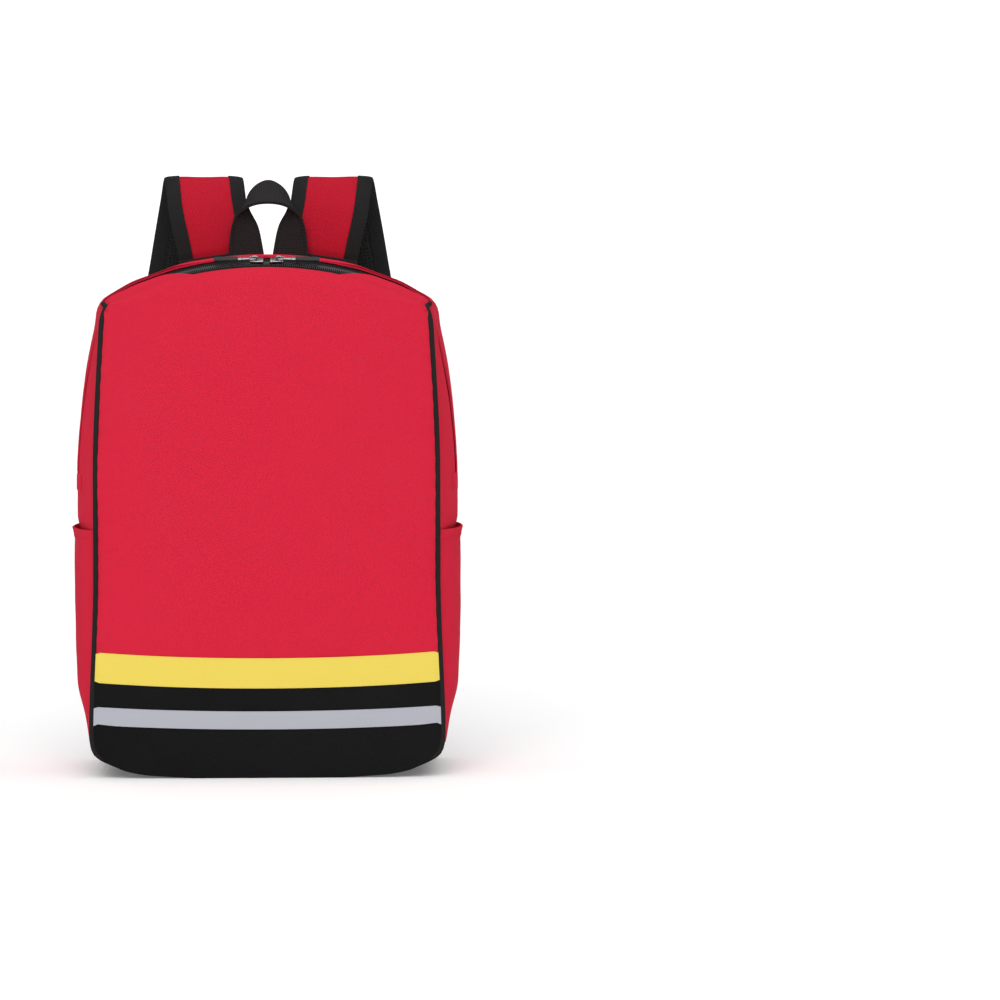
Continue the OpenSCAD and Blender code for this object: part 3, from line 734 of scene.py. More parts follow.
def front_sheet(u, v):
    low = BASE_SEAM
    s = math.sin(math.pi * (u - 0.5))
    q = walk_at(TURN_X * s)
    ridge_x, ridge_z, g = walk(abs(q))
    ridge_x = math.copysign(ridge_x, s)
    fold = lerp(9.0, 2.0, ease((abs(ridge_x) - 95) / 40))
    out = Vector((math.copysign(math.sin(g), s), 0, math.cos(g)))
    edge_y = seam_y(ridge_z)
    if v <= FACE_SHARE:
        t = v / FACE_SHARE
        t = 1 - (1 - t) ** 1.25 if t > 0.5 else t * (1 - 0.5**1.25) / 0.5
        side_z = lerp(low, walk(Q_TURN)[1], t)
        z = lerp(low, ridge_z, t)
        x = (face_half(side_z) - FACE_INSET) * s
        far = ridge_z - z
        y = face_y(x * 0.998, z)
        if far < fold:
            turn = (1 - far / fold) * math.pi / 4
            down = Vector((0, 0, 1)).lerp(out, 1 - far / fold).normalized()
            p = Vector((ridge_x, edge_y, ridge_z)) - down * fold * (1 - math.sin(turn))
            y += (edge_y - y) * (1 - far / fold) + fold * (1 - math.cos(turn))
            return seat(p.x, y, p.z)
        wave = ripple(x, 0, z, 70, 1.1) + ripple(x, 9, z, 26, 0.35)
        pucker = 0.35 * math.sin(z * 0.42) * ease(1 - (HALF_W - abs(x)) / 16)
        y += (wave + pucker) * min(1, (z - low) / 30) * min(1, far / 40)
        return seat(x, y, z)
    t = (v - FACE_SHARE) / (1 - FACE_SHARE)
    end = ZIP_Y - zip_gap(q)
    y = lerp(edge_y, end, t)
    if y - edge_y < fold:
        turn = math.pi / 4 * (1 + (y - edge_y) / fold)
        p = Vector((ridge_x, edge_y + fold, ridge_z)) + out * (
            swell(abs(q), y) - fold + fold * math.sin(turn))
        return seat(p.x, p.y - fold * math.cos(turn), p.z)
    x, y, z = wrap_point(q, y, -over_teeth(y, q))
    slack = LIP_SLACK * (1 - ease((abs(q) - 45) / 45)) * ease(t * 1.2)
    return x, y, z - slack + ripple(x, y, 3, 40, 0.5) * math.sin(math.pi * t)


front_cloth = sew("front_cloth", (72, 110), front_sheet, 1.4, RED, "fold", "front_panel_upper",
                  "front_panel_lower")
print("front sheet faces:", len(front_cloth.data.polygons))

# %% [markdown]
# ## The black base
# Below the seam the face is black cloth, a separate piece that wears better on the ground. It
# wraps the two lower corners and swells a little over the base board.


# %% Base cloth
def base_sheet(u, v):
    s = math.sin(math.pi * (u - 0.5))
    x = (HALF_W - FACE_INSET) * s
    low = outline_bottom(x)
    z = lerp(low, BASE_SEAM, v)
    y = face_y(x * 0.998, z) + ripple(x, 5, z, 40, 0.8) * math.sin(math.pi * v)
    return seat(x, y, z)


sew("base_cloth", (72, 24), base_sheet, 1.4, BLACK, "pack", "front_base_panel")


def floor_sheet(u, v):
    a = lerp(Q_BASE, 2 * Q_MID - Q_BASE, u)
    right = a <= Q_MID
    x, z, g = walk(a if right else 2 * Q_MID - a)
    y = lerp(seam_y(z) + 0.4, BACK_Y - 0.6, v)
    return seat(x if right else -x, y, z)


sew("floor_cloth", (60, 16), floor_sheet, 1.4, BLACK, "pack", "bottom_panel")

# %% [markdown]
# ## The sides and the rear of the top
# The side cloth swells outward where the load pushes it. Below the zip it is one piece; above,
# the zip splits it into a front gusset and a rear part.


# %% Side cloths
def side_ripple(q, y, z):
    return ripple(y, q * 0.01, z, 55, 1.3) + ripple(y, 4, z, 18, 0.3)


def near_seam(y, z):
    return min(1, (y - seam_y(z)) / 14, (BACK_Y - y) / 14)


def side_sheet(sign, q0, q1, y0, y1, relieved=False):
    def place(u, v):
        if sign > 0:
            q, w = lerp(q0, q1, u), v
        else:
            q, w = -lerp(q1, q0, u), v
        z = walk(abs(q))[1]
        near, far = y0(abs(q), z), y1(abs(q), z)
        y = lerp(near, far, w)
        lift = over_teeth(y, q) if abs(q) < Q_ZIP_END else 0
        sink = -lift - side_ripple(q, y, z) * max(0, near_seam(y, z)) * ease(
            (abs(q) - Q_TURN) / 20) * 0.6
        return wrap_point(q, y, sink, relieved)

    return place


def at_front(a, z):
    return seam_y(z) + 0.4


def at_back(a, z):
    return BACK_Y - 0.6


def at_front_lip(a, z):
    return ZIP_Y - zip_gap(a)


def at_rear_lip(a, z):
    return ZIP_Y + zip_gap(a)


for name, sign in SIDES:
    sew(f"gusset_cloth_{name}", (40, 12),
        side_sheet(sign, Q_TURN, Q_ZIP_END, at_front, at_front_lip), 1.4, RED, "fold",
        f"flap_gusset_{name}")
    sew(f"side_cloth_{name}", (56, 24),
        side_sheet(sign, Q_ZIP_END, Q_BASE, at_front, at_back, True), 1.4, RED, "pack",
        f"side_panel_{name}")
    sew(f"shoulder_cloth_{name}", (40, 14),
        side_sheet(sign, Q_TURN, Q_ZIP_END, at_rear_lip, at_back), 1.4, RED, "pack",
        f"side_panel_{name}")


LIP_REACH = 4.5


def rear_lip_edge(q):
    """Where the rear lip ends: it reaches forward over its teeth in the middle of the top."""
    return max(ZIP_Y + zip_gap(q), CREST_Y - LIP_REACH * (1 - ease((abs(q) - 50) / 30)))


def top_sheet(u, v):
    q = lerp(-Q_TURN, Q_TURN, u)
    y = lerp(rear_lip_edge(q), BACK_Y - 0.6, v)
    x, y, z = wrap_point(q, y, -over_teeth(y, q))
    return x, y, z + ripple(x, y, 0, 45, 0.8) * math.sin(math.pi * v)


sew("top_cloth", (72, 22), top_sheet, 1.4, RED, "pack", "top_panel")


ROLL_SHARE = 0.35
LIP_DROOP = 2.4


def rain_lip(u, v):
    """A turned edge over the rear row of teeth, rounded over and back under itself."""
    q = lerp(-Q_TURN, Q_TURN, u)
    edge = rear_lip_edge(q) - 0.2
    if v < ROLL_SHARE:
        y = edge + 1.3 * (1 - math.sin(v / ROLL_SHARE * math.pi / 2))
        rise = 0.1 + 2.2 * (v / ROLL_SHARE)
    else:
        t = (v - ROLL_SHARE) / (1 - ROLL_SHARE)
        y = edge + 8 * t
        rise = 2.3 + 1.1 * math.sin(math.pi * min(1, t * 1.5)) * (1 - t) - 1.5 * t
    rise *= lerp(1, 0.35, shoulder_shut(q))
    rise -= LIP_DROOP * (1 - ease((abs(q) - 45) / 40)) * (1 - ease((y - edge) / 5))
    return wrap_point(q, y, -rise - over_teeth(max(y, edge), q))


sew("rain_lip", (72, 10), rain_lip, 0.7, RED, "pack", "rain_flap")
print("sides and top laid")

# %% [markdown]
# ## Stripes
# A lime-yellow woven tape hides the seam between red and black, and a silver reflective tape
# crosses the black. Both are sewn flat and sag a little in the middle with the cloth. Tape is
# thin, so it is laid just proud of the face and stitched near both edges.


# %% Yellow and silver tapes
YELLOW_AT = (BASE_SEAM, 25, 1.3, 4.6)
SILVER_AT = (48, 15, 1.0, 3.7)


def stripe_sheet(middle, width, rise, sag, proud):
    """A tape's height on the face, its width, its lift, its sag and how proud it lies."""
    def place(u, v):
        x = (HALF_W - 0.2) * lerp(-1, 1, u)
        level = middle + rise + sag * (x / HALF_W) ** 2
        z = level + width * (v - 0.5)
        corner = ease((abs(x) - HALF_W + 2.5) / 2.5)
        z = lerp(z, level, 0.10 * corner)
        y = face_y(x * 0.998, z) + ripple(x, 5, z, 40, 0.5) - proud
        return seat(x, y, z)

    return place


def stripe(name, node, at, inset, material, thread, **size):
    sew(name, (80, 6), stripe_sheet(*at, 1.2), 0.9, material, "pack", node, slot=name)
    sheet = stripe_sheet(*at, 0.75)
    rows = []
    for v in (inset / at[1], 1 - inset / at[1]):
        points = [sheet(i / 80, v) for i in range(81)]
        rows.append((points, [(0, -1, 0)] * 81))
    dress(stitch_rows(f"{name}_stitches", rows, **size), thread, "pack", slot=name)


stripe("yellow_tape", "yellow_stripe", YELLOW_AT, 1.6, YELLOW, YELLOW_THREAD,
       width=0.7, rise=0.75)
stripe("silver_tape", "reflective_stripe", SILVER_AT, 1.5, SILVER, SILVER_THREAD,
       width=0.6, rise=0.7)

# %% [markdown]
# ## Piping
# A cord wrapped in black binding stiffens each front seam. It climbs the side of the face,
# turns over the shoulder and runs back to the zip. There is one tube per side.

# %% Corded piping
PIPE_R = 2.2


def eased_line(path, rounds=3):
    """Rounds the corners of a line by moving each place towards its neighbours."""
    path = [Vector(p) for p in path]
    for _ in range(rounds):
        between = [(a + 2 * b + c) / 4 for a, b, c in zip(path, path[1:], path[2:])]
        path = [path[0], *between, path[-1]]
    return path


def piping_path(sign):
    """Up the front seam from under the base, over the shoulder and back to the zip."""
    path = []
    low = Q_BASE + 1.3 * BASE_R
    for i in range(91):
        a = lerp(low, Q_TURN + 3, (i / 90) ** 0.9)
        x, z, g = walk(a)
        tuck = ease(1 - i / 9)
        r = PIPE_R - 0.8 - 3.2 * tuck
        px, py, pz = seat(sign * x, seam_y(z) + 0.6 + 2.0 * tuck, z)
        path.append((px + sign * r * math.sin(g), py, pz + r * math.cos(g)))
    x, z, g = walk(Q_TURN)
    for i in range(1, 13):
        y = lerp(seam_y(z) + 2.5, ZIP_Y - zip_gap(Q_TURN) - 1, i / 12)
        r = PIPE_R - 2.6 + swell(Q_TURN, y) + over_teeth(y, Q_TURN)
        path.append(seat(sign * (x + r * math.sin(g)), y, z + r * math.cos(g)))
    return eased_line(path, 6)


for name, sign in SIDES:
    piping = lay_tube(f"piping_{name}", piping_path(sign), PIPE_R, 12)
    dress(piping, BINDING, "fold", "piping_upper", "piping_lower")

# %% [markdown]
# ## Side pockets
# Each open pocket is a second piece of cloth sewn along three edges of the side. It stands off
# the bag at its mouth, where a gathered elastic hem holds it in.

# %% Pocket cloth and hems
POCKET_EDGE = 3.5
POCKET_STAND, MOUTH_PULL = 7.2, 1.8
HEM_H = 8


def pocket_sheet(sign, a0, a1, out, gather=0.0):
    def place(u, v):
        a = lerp(a0, a1, u if sign > 0 else 1 - u)
        z = walk(a)[1]
        y = lerp(seam_y(z) + 1 + POCKET_EDGE, BACK_Y - 3, v)
        full = POCKET_STAND * ease((z - 22) / 55)
        full -= MOUTH_PULL * ease((z - POCKET_H + 16) / 16)
        full *= 1 - abs(2 * v - 1) ** 6
        wave = ripple(y, sign * 3, z, 30, 0.9) * (1 - abs(2 * v - 1) ** 4)
        fold = gather * math.sin(v * 150) * (1 - abs(2 * v - 1) ** 8)
        return wrap_point(sign * a, y, -out - 0.3 - full - wave - fold, True)

    return place


Q_MOUTH = Q_CORNER + CORNER_Z - POCKET_H
for name, sign in SIDES:
    sew(f"pocket_cloth_{name}", (46, 26),
        pocket_sheet(sign, Q_MOUTH + HEM_H - 0.4, Q_BASE - 4, 0.5), 1.0, RED, "pack",
        f"side_pocket_{name}")
    sew(f"pocket_hem_{name}_gathered", (8, 90),
        pocket_sheet(sign, Q_MOUTH, Q_MOUTH + HEM_H, 0.7, 0.22), 1.6, RED, "pack",
        f"pocket_hem_{name}")
    line = pocket_sheet(sign, Q_MOUTH + HEM_H - 1.6, Q_MOUTH + HEM_H, 0.9)
    points = [line(0.5 - 0.5 * sign, 0.03 + 0.94 * i / 60) for i in range(61)]
    row = stitch_rows(f"hem_stitches_{name}", [(points, [(sign, 0, 0)] * 61)], width=0.5,
                      rise=0.35)
    dress(row, RED_THREAD, "pack", slot="red_cloth")

# %% [markdown]
# ## The zip
# A coil zip has two cloth tapes, each with a nylon coil sewn along its edge. Each turn of the
# coil is one small tooth with a rounded head, modelled once and copied along the arch.

# %% Tapes and teeth
COIL_GAP = 2.4
TAPE_T = 0.9
TAPE_IN = 2.1


def tape_sheet(y0, y1):
    def place(u, v):
        q = lerp(-Q_ZIP_END + 1, Q_ZIP_END - 1, u)
        return wrap_point(q, lerp(y0, y1, v), TAPE_IN + 0.05)

    return place


sew("zip_tape_front_cloth", (150, 3), tape_sheet(LIP_Y + 0.2, ZIP_Y - COIL_GAP / 2), TAPE_T,
    ZIP_TAPE, "fold", "zip_tape_front")
sew("zip_tape_rear_cloth", (150, 3), tape_sheet(ZIP_Y + COIL_GAP / 2, CREST_Y - 0.2), TAPE_T,
    ZIP_TAPE, "pack", "zip_tape_rear")


def teeth_row(name, y_head, toward):
    """toward is +1 where the teeth point to +Y. A tooth is an eight-cornered block, waisted."""
    profile = [(-2.3, 0.30), (-1.0, 0.42), (0.0, 0.62), (0.35, 0.45)]
    heights = [0.5, 1.15, 1.25, 0.75]
    pitch = 1.75
    count = int(2 * (Q_ZIP_END - 2) / pitch)
    corners, faces = [], []
    for i in range(count):
        q = -Q_ZIP_END + 2 + (i + (0.5 if toward > 0 else 0.0)) * pitch
        base = len(corners)
        for (back_off, half), high in zip(profile, heights):
            y = y_head + toward * back_off
            for dq, rise in ((-half, -0.3), (half, -0.3), (half, high), (-half, high)):
                corners.append(Vector(wrap_point(q + dq, y, TAPE_IN - rise)) * MM)
        for k in range(3):
            for c in range(4):
                a, b = base + 4 * k + c, base + 4 * k + (c + 1) % 4
                faces.append((a, b, b + 4, a + 4))
        faces.append(tuple(base + c for c in (3, 2, 1, 0)))
        faces.append(tuple(base + 12 + c for c in range(4)))
    return drawn_piece(name, corners, faces, 50)


front_teeth = teeth_row("zip_coil_front", ZIP_Y - COIL_GAP / 2 + 0.2, 1)
dress(front_teeth, TEETH, "fold", "zip_teeth_front")
rear_teeth = teeth_row("zip_coil_rear", ZIP_Y + COIL_GAP / 2 - 0.2, -1)
dress(rear_teeth, TEETH, "pack", "zip_teeth_rear")
print("teeth in a row:", len(front_teeth.data.polygons) // 14)


def end_tab_sheet(sign):
    def place(u, v):
        a = lerp(Q_ZIP_END - 2, Q_ZIP_END + 13, u if sign > 0 else 1 - u)
        y = ZIP_Y + lerp(-9, 9, v)
        edge = min(u, 1 - u) * 15 / 2
        edge = min(edge, min(v, 1 - v) * 18 / 2, 1)
        return wrap_point(sign * a, y, -0.4 - 0.7 * edge ** 0.5, True)

    return place


for name, sign in SIDES:
    sew(f"zip_end_tab_{name}", (12, 14), end_tab_sheet(sign), 1.0, RED, "pack", "zip_end_tabs")

# %% [markdown]
# ## Sliders and pulls
# Each plated slider is a domed shield with a bail over its back. A forged link hangs on the
# bail, and a moulded rubber tab with grip ridges is fixed to the link. They start as cubes and
# rings, and get their shape from tapers and bevels.

# %% Slider parts
SLIDER_X = 8.5
ZIP_R = ARCH_R + (LIP_RISE + CREST_RISE) / 2
SLOPE = math.atan((CREST_RISE - LIP_RISE) / ZIP_W)
PLATE_Z = -0.05
BAIL = Vector((1.5, 0, 2.75))
LINK_L, TAB_L, TAB_W = 14, 20, 7


def on_zip(sign):
    """The place of a closed slider: x along the zip and z outward, in millimetres."""
    turn = Matrix.Rotation(SLIDER_X / ZIP_R, 4, "Y")
    tilt = Matrix.Rotation(SLOPE, 4, "X")
    place = (Matrix.Translation((0, ZIP_Y, ARCH_Z)) @ turn @ Matrix.Translation((0, 0, ZIP_R))
             @ tilt)
    return Matrix.Diagonal((sign, 1, 1, 1)) @ place


def block(size, centre, bevel, taper=None):
    """A cube shaped in edit mode: its far end is narrowed by taper, and its edges rounded."""
    bpy.ops.object.select_all(action="DESELECT")
    bpy.ops.mesh.primitive_cube_add(size=1)
    obj = bpy.context.object
    for v in obj.data.vertices:
        x, y, z = v.co
        if taper and x > 0:
            y, z = y * taper[0], z * taper[1]
        v.co = Vector((x * size[0], y * size[1], z * size[2])) + Vector(centre)
    apply_modifier(obj, "BEVEL", width=bevel, segments=3, limit_method="NONE")
    return obj


def ring(major, minor, centre, squash=(1, 1, 1), turned=None):
    bpy.ops.object.select_all(action="DESELECT")
    bpy.ops.mesh.primitive_torus_add(major_radius=major, minor_radius=minor,
                                     major_segments=28, minor_segments=10)
    obj = bpy.context.object
    for v in obj.data.vertices:
        p = Vector((v.co.x * squash[0], v.co.y * squash[1], v.co.z * squash[2]))
        if turned:
            p = turned @ p
        v.co = p + Vector(centre)
    return obj


def gather(name, parts, sign):
    obj = join_parts(name, parts)
    obj.data.transform(Matrix.Scale(MM, 4) @ on_zip(sign))
    if sign < 0:
        obj.data.flip_normals()
    smooth(obj, 45)
    return obj


upright = Matrix.Rotation(math.pi / 2, 4, "X")
for name, sign in SIDES:
    plate = block((11, 8.6, 1.5), (0, 0, PLATE_Z + 0.75), 0.55, (0.62, 0.85))
    nose = block((2.6, 8.8, 2.4), (-4.6, 0, PLATE_Z + 0.6), 0.9)
    under = block((10, 5.0, 1.0), (-0.4, -1.9, -3.9), 0.4, (0.7, 0.9))
    post = block((2.6, 0.9, 5), (-4.0, 0, -1.9), 0.25)
    bail = ring(1.75, 0.62, BAIL + Vector((0, 0, -0.1)), (1.5, 1.1, 2.0), upright)
    slider = gather(f"slider_metal_{name}", [plate, nose, under, post, bail], sign)
    dress(slider, METAL, f"slider_body_{name}", f"slider_{name}")

    eye = ring(2.3, 0.65, BAIL + Vector((2.0, 0, 0)), (1.35, 1.1, 1.1))
    shank = block((9, 4.4, 1.3), BAIL + Vector((8.4, 0, 0)), 0.45, (1.25, 1))
    waist = block((4, 6.2, 1.7), BAIL + Vector((LINK_L - 1.6, 0, 0)), 0.6)
    link = gather(f"pull_link_metal_{name}", [eye, shank, waist], sign)
    dress(link, METAL, f"pull_{name}", f"pull_link_{name}")

    tab_start = BAIL.x + LINK_L
    slab = block((TAB_L, TAB_W, 2.6), (tab_start + TAB_L / 2, 0, BAIL.z), 1.1, (1.0, 0.8))
    ridges = [block((0.9, TAB_W - 1.6, 3.1), (tab_start + 5 + 2.3 * k, 0, BAIL.z), 0.3)
              for k in range(6)]
    tab = gather(f"pull_tab_rubber_{name}", [slab, *ridges], sign)
    dress(tab, RUBBER, f"pull_{name}", f"pull_tab_{name}")
print("sliders at", [round(c, 1) for c in on_zip(1) @ BAIL])

# %% [markdown]
# ## Haul handle
# The handle is doubled webbing. Its legs lie flat against the back seam and the band twists as
# it rises, so that the grip on top faces forward and up. Two edge curves say where the band's
# edges run, and the grid is stretched between them.

# %% Twisted webbing
HANDLE_Y, HANDLE_Z = BACK_Y - 2, PANEL_H + 3
FRONT_EDGE = [(34, 0, 0), (33.5, 0, 15), (31, -3, 29), (24.5, -7, 41), (13, -10, 48), (0, -11, 50)]
REAR_EDGE = [(2.5, 0, 0), (5, 1, 16), (8.5, 3, 32), (16.0, 6, 49), (11.5, 9, 62.5), (0, 10, 69)]


def through(points, t):
    """A smooth line through points, for t from 0 to their count less one."""
    k = min(int(t), len(points) - 2)
    u = t - k
    p0, p1 = Vector(points[max(0, k - 1)]), Vector(points[k])
    p2, p3 = Vector(points[k + 1]), Vector(points[min(len(points) - 1, k + 2)])
    return 0.5 * (2 * p1 + (p2 - p0) * u + (2 * p0 - 5 * p1 + 4 * p2 - p3) * u * u
                  + (3 * p1 - p0 - 3 * p2 + p3) * u**3)


def mirrored_line(half):
    return [(-x, y, z) for x, y, z in half] + [(x, y, z) for x, y, z in reversed(half[:-1])]


FRONT_LINE, REAR_LINE = mirrored_line(FRONT_EDGE), mirrored_line(REAR_EDGE)


def handle_band(lift=0.0):
    def place(u, v):
        t = v * (len(FRONT_LINE) - 1)
        a, b = through(FRONT_LINE, t), through(REAR_LINE, t)
        p = a.lerp(b, u)
        crown = 4 * u * (1 - u)
        facing = (b - a).cross(through(FRONT_LINE, min(10, t + 0.05)) - through(
            FRONT_LINE, max(0, t - 0.05))).normalized()
        p += facing * (lift - 1.0 * (1 - crown))
        return p.x, p.y + HANDLE_Y, p.z + HANDLE_Z

    return place


sew("haul_handle_webbing", (12, 96), handle_band(), 2.6, WEBBING, "haul_handle", "haul_handle")
handle_rows = []
for u in (0.1, 0.9):
    line = handle_band(0.35)
    points = [line(u, 0.03 + 0.94 * i / 80) for i in range(81)]
    outs = []
    for i in range(81):
        v = 0.03 + 0.94 * i / 80
        here, there = Vector(line(u, v)), Vector(handle_band(1.35)(u, v))
        outs.append(there - here)
    handle_rows.append((points, outs))
handle_stitches = stitch_rows("haul_handle_stitches", handle_rows, 3.0, 2.2, 0.5, 0.3)
dress(handle_stitches, BINDING, "haul_handle", slot="black_webbing")

# %% [markdown]
# ## Shoulder straps
# A strap is a shaped foam pad: red cloth on top, darkened as painted shade, spacer mesh against
# the body, and a wide binding that wraps both edges. One centre line, from the yoke over the
# shoulder and down, carries every piece, so they stay together along the whole loop.

# %% The line of a strap
STRAP_ROUTE = [
    (34, 7, -92), (38, 7, -46), (44, 9, 10), (52, 15, 50), (56, 33, 73), (61, 51, 50),
    (69, 55, 5), (87, 49, -95), (99, 38, -190), (107, 26, -270), (111, 14, -330),
    (115, 6, -375), (117, 5.5, -392)]
STRAP_ROUTE = [(x, BACK_Y + y, PANEL_H + z) for x, y, z in STRAP_ROUTE]
STRAP_HALF = [(h, 0, 0) for h in (30, 31, 33, 34, 34, 34, 34, 32, 28, 22, 22, 22, 22)]
STRAP_START, PAD_END, WEB_START, WEB_END = 0.95, 7.98, 8.42, 9.55
BIND_W = 11


def strap_at(t):
    return through(STRAP_ROUTE, t + 1)


def strap_frame(t):
    """Centre, direction across, outward direction and half width of the strap."""
    along = (strap_at(t + 0.02) - strap_at(t - 0.02)).normalized()
    across = (Vector((1, 0, 0)) - along * along.x).normalized()
    return strap_at(t), across, across.cross(along), through(STRAP_HALF, t + 1).x


def strap_skin(sign, t0, t1, turn0, turn1, grow=0.0, sink=0.0):
    """Part of the strap's rounded section, from one angle to another, grown outward."""
    def place(u, v):
        t = lerp(t0, t1, v)
        centre, across, out, reach = strap_frame(t)
        end = ease(min(v * 40, (1 - v) * 40))
        angle = lerp(turn0, turn1, u)
        c, s = math.cos(angle), math.sin(angle)
        w = math.copysign(abs(c) ** 0.42, c)
        thin = 1 - 0.42 * abs(w) ** 3
        h = math.copysign(abs(s) ** 0.6, s) * 4.1 * thin * lerp(0.6, 1, end)
        soft = ripple(t * 26, w * 20, sign * 7, 16, 0.5)
        far = reach - 1.2 + grow
        p = centre + across * w * far + out * (h + math.copysign(grow, h) + soft - sink)
        return sign * p.x, p.y, p.z

    return place


def edge_turn(reach):
    return math.acos(((reach - BIND_W) / reach) ** (1 / 0.42))


for name, sign in SIDES:
    whole = (0, 2 * math.pi) if sign < 0 else (2 * math.pi, 0)
    # The pad's red top is the darkened red cloth, painted shade on the strap.
    pad = sew(f"strap_pad_{name}_foam", (44, 190), strap_skin(sign, STRAP_START, PAD_END, *whole),
              0, SHADED_STRAP_RED, f"strap_{name}", f"strap_pad_{name}", closed=True, slot="red_cloth")
    under = (math.pi * 1.12, math.pi * 1.88)
    under = under if sign < 0 else under[::-1]
    sew(f"strap_mesh_{name}_knit", (24, 190),
        strap_skin(sign, STRAP_START, PAD_END, *under, 0.45), 0.6,
        BLACK_MESH, f"strap_{name}", f"strap_mesh_{name}")
    for edge, middle in (("outer", 0.0), ("inner", math.pi)):
        spread = edge_turn(30)
        arc = (middle - spread, middle + spread)
        arc = arc if sign < 0 else arc[::-1]
        tape = strap_skin(sign, STRAP_START - 0.01, PAD_END + 0.01, *arc, 0.85)
        sew(f"strap_binding_{name}_{edge}", (18, 190), tape, 0.8, BINDING, f"strap_{name}",
            f"strap_binding_{name}")

# %% Roots, webbing and anchors
def flat_band(sign, t0, t1, half, thick, shift=0.0):
    def place(u, v):
        t = lerp(t0, t1, v)
        centre, across, out, reach = strap_frame(t)
        w = (half or reach) * lerp(-1, 1, u if sign < 0 else 1 - u)
        crown = 0.5 * thick * (1 - (2 * u - 1) ** 4)
        p = centre + across * w + out * (crown + shift)
        return sign * p.x, p.y, p.z

    return place


for name, sign in SIDES:
    sew(f"strap_root_{name}", (14, 26), flat_band(sign, 0.2, 0.99, 0, 3.0, 0.5), 3.2, BLACK_MESH,
        "pack", "strap_roots")
    sew(f"strap_webbing_{name}_band", (10, 44),
        flat_band(sign, WEB_START - 0.25, WEB_END, 12.5, 0.4, 0.6), 1.6, WEBBING, f"strap_{name}",
        f"strap_webbing_{name}")


def anchor_sheet(sign):
    """A folded wing of webbing, sewn into the corner of the back."""
    def place(u, v):
        x = lerp(94.5, 138, v)
        half = lerp(6.5, 12, ease(v * 1.4))
        middle = lerp(43, 42, v)
        z = middle + half * lerp(-1, 1, u if sign > 0 else 1 - u)
        puff = 1.2 * math.sin(math.pi * u) + 0.6 * math.sin(math.pi * v)
        return sign * x, BACK_Y + 3.2 + puff, z

    return place


for name, sign in SIDES:
    sew(f"strap_anchor_{name}_wing", (14, 24), anchor_sheet(sign), 2.6, WEBBING, "pack",
        f"strap_anchor_{name}")
    sew(f"strap_anchor_{name}_end", (10, 14),
        flat_band(sign, WEB_END + 0.03, 9.98, 12.8, 0.4, 0.4), 2.6, WEBBING, "pack",
        f"strap_anchor_{name}")

# %% [markdown]
# ## Ladder locks
# A ladder lock is a small moulded frame with bars. The webbing runs up behind the middle bar,
# over it and back down, and friction holds it. It is modelled as a frame of rounded bars.


# %% Ladder lock
def ladder_lock(name, sign):
    middle = (PAD_END + WEB_START) / 2
    centre, across, out = strap_frame(middle)[:3]
    along = across.cross(out) * -1
    turn = Matrix((across, out, along)).transposed().to_4x4()
    bars = []
    for x in (-15.6, 15.6):
        bars.append(block((3.6, 4.4, 23), (x, 0, 0), 1.2))
    for z, thick in ((-10.6, 3.2), (-1.6, 2.8), (4.2, 2.6), (10.4, 3.4)):
        bars.append(block((31, thick * 0.95, thick), (0, 0, z), 1.0))
    lip = block((30, 2.2, 4.5), (0, 2.2, -12.0), 0.9)
    lock = join_parts(f"ladder_lock_{name}_frame", [*bars, lip])
    flip = Matrix.Diagonal((sign, 1, 1, 1))
    lock.data.transform(Matrix.Scale(MM, 4) @ flip @ Matrix.Translation(centre) @ turn)
    if (flip @ turn).determinant() < 0:
        lock.data.flip_normals()
    smooth(lock, 45)
    return lock


for name, sign in SIDES:
    lock = ladder_lock(name, sign)
    dress(lock, PLASTIC, f"strap_{name}", f"ladder_lock_{name}")
print("straps, locks and anchors made")

# %% [markdown]
# ## The back
# The back is a flat black sheet with foam behind it, bound all round. A padded panel of spacer
# mesh, sewn in channels, lies against the wearer, and a yoke of webbing covers the ends of the
# straps. The sheet is the outline filled in from the middle, so its edge meets every wall.


# %% Back sheet, binding and yoke
def rim(share_round):
    """The outline all round, from the middle of the base, as x, z."""
    a = abs(lerp(-Q_MID, Q_MID, share_round))
    x, z = walk(min(Q_MID, a))[:2]
    return math.copysign(x, share_round - 0.5), z


def back_sheet(u, v):
    """Columns run side to side; rows climb from the base to the top."""
    x = HALF_W * math.sin(math.pi * (0.5 - u))
    low, high = outline_bottom(x), outline_top(x)
    z = lerp(low, high, v)
    bow = (1 - abs(x / HALF_W) ** 4) * math.sin(math.pi * v) ** 0.5
    return seat(x * 0.999, BACK_Y - 1.0 + 1.0 * bow + ripple(x, 60, z, 60, 0.6) * bow, z)


sew("back_cloth", (64, 90), back_sheet, 2.0, BLACK, "pack", "back_panel")


def rim_path():
    path = []
    for i in range(181):
        x, z = rim(i / 180)
        g = walk(min(Q_MID, abs(lerp(-Q_MID, Q_MID, i / 180))))[2]
        out = math.copysign(1, i - 90) * math.sin(g)
        path.append(seat(x + 0.8 * out, BACK_Y - 0.6, max(2.0, z + 0.8 * math.cos(g))))
    return path


back_piping = lay_tube("back_seam_binding", rim_path(), 1.9, 10)
dress(back_piping, BINDING, "pack")


def yoke_sheet(u, v):
    half = lerp(99, 101, v)
    x = half * lerp(1, -1, u)
    z = lerp(PANEL_H - 56, PANEL_H - 26, v)
    edge = min(u * 202, (1 - u) * 202, v * 30, (1 - v) * 30, 2) / 2
    return x, BACK_Y + 0.6 + 1.6 * edge**0.5 + 0.4 * math.sin(x / 9) * edge, z


sew("yoke_webbing", (70, 14), yoke_sheet, 1.6, WEBBING, "pack", "yoke")

# %% [markdown]
# ## The padded back
# The pad starts as the solid part's own shape, drawn in a little and remeshed fine. Cloth with
# air pressure then blows it up, which crowns it and pulls in its corners, and the movement is
# capped. Sewn channels are pressed in after that, because the remesh would erase them.

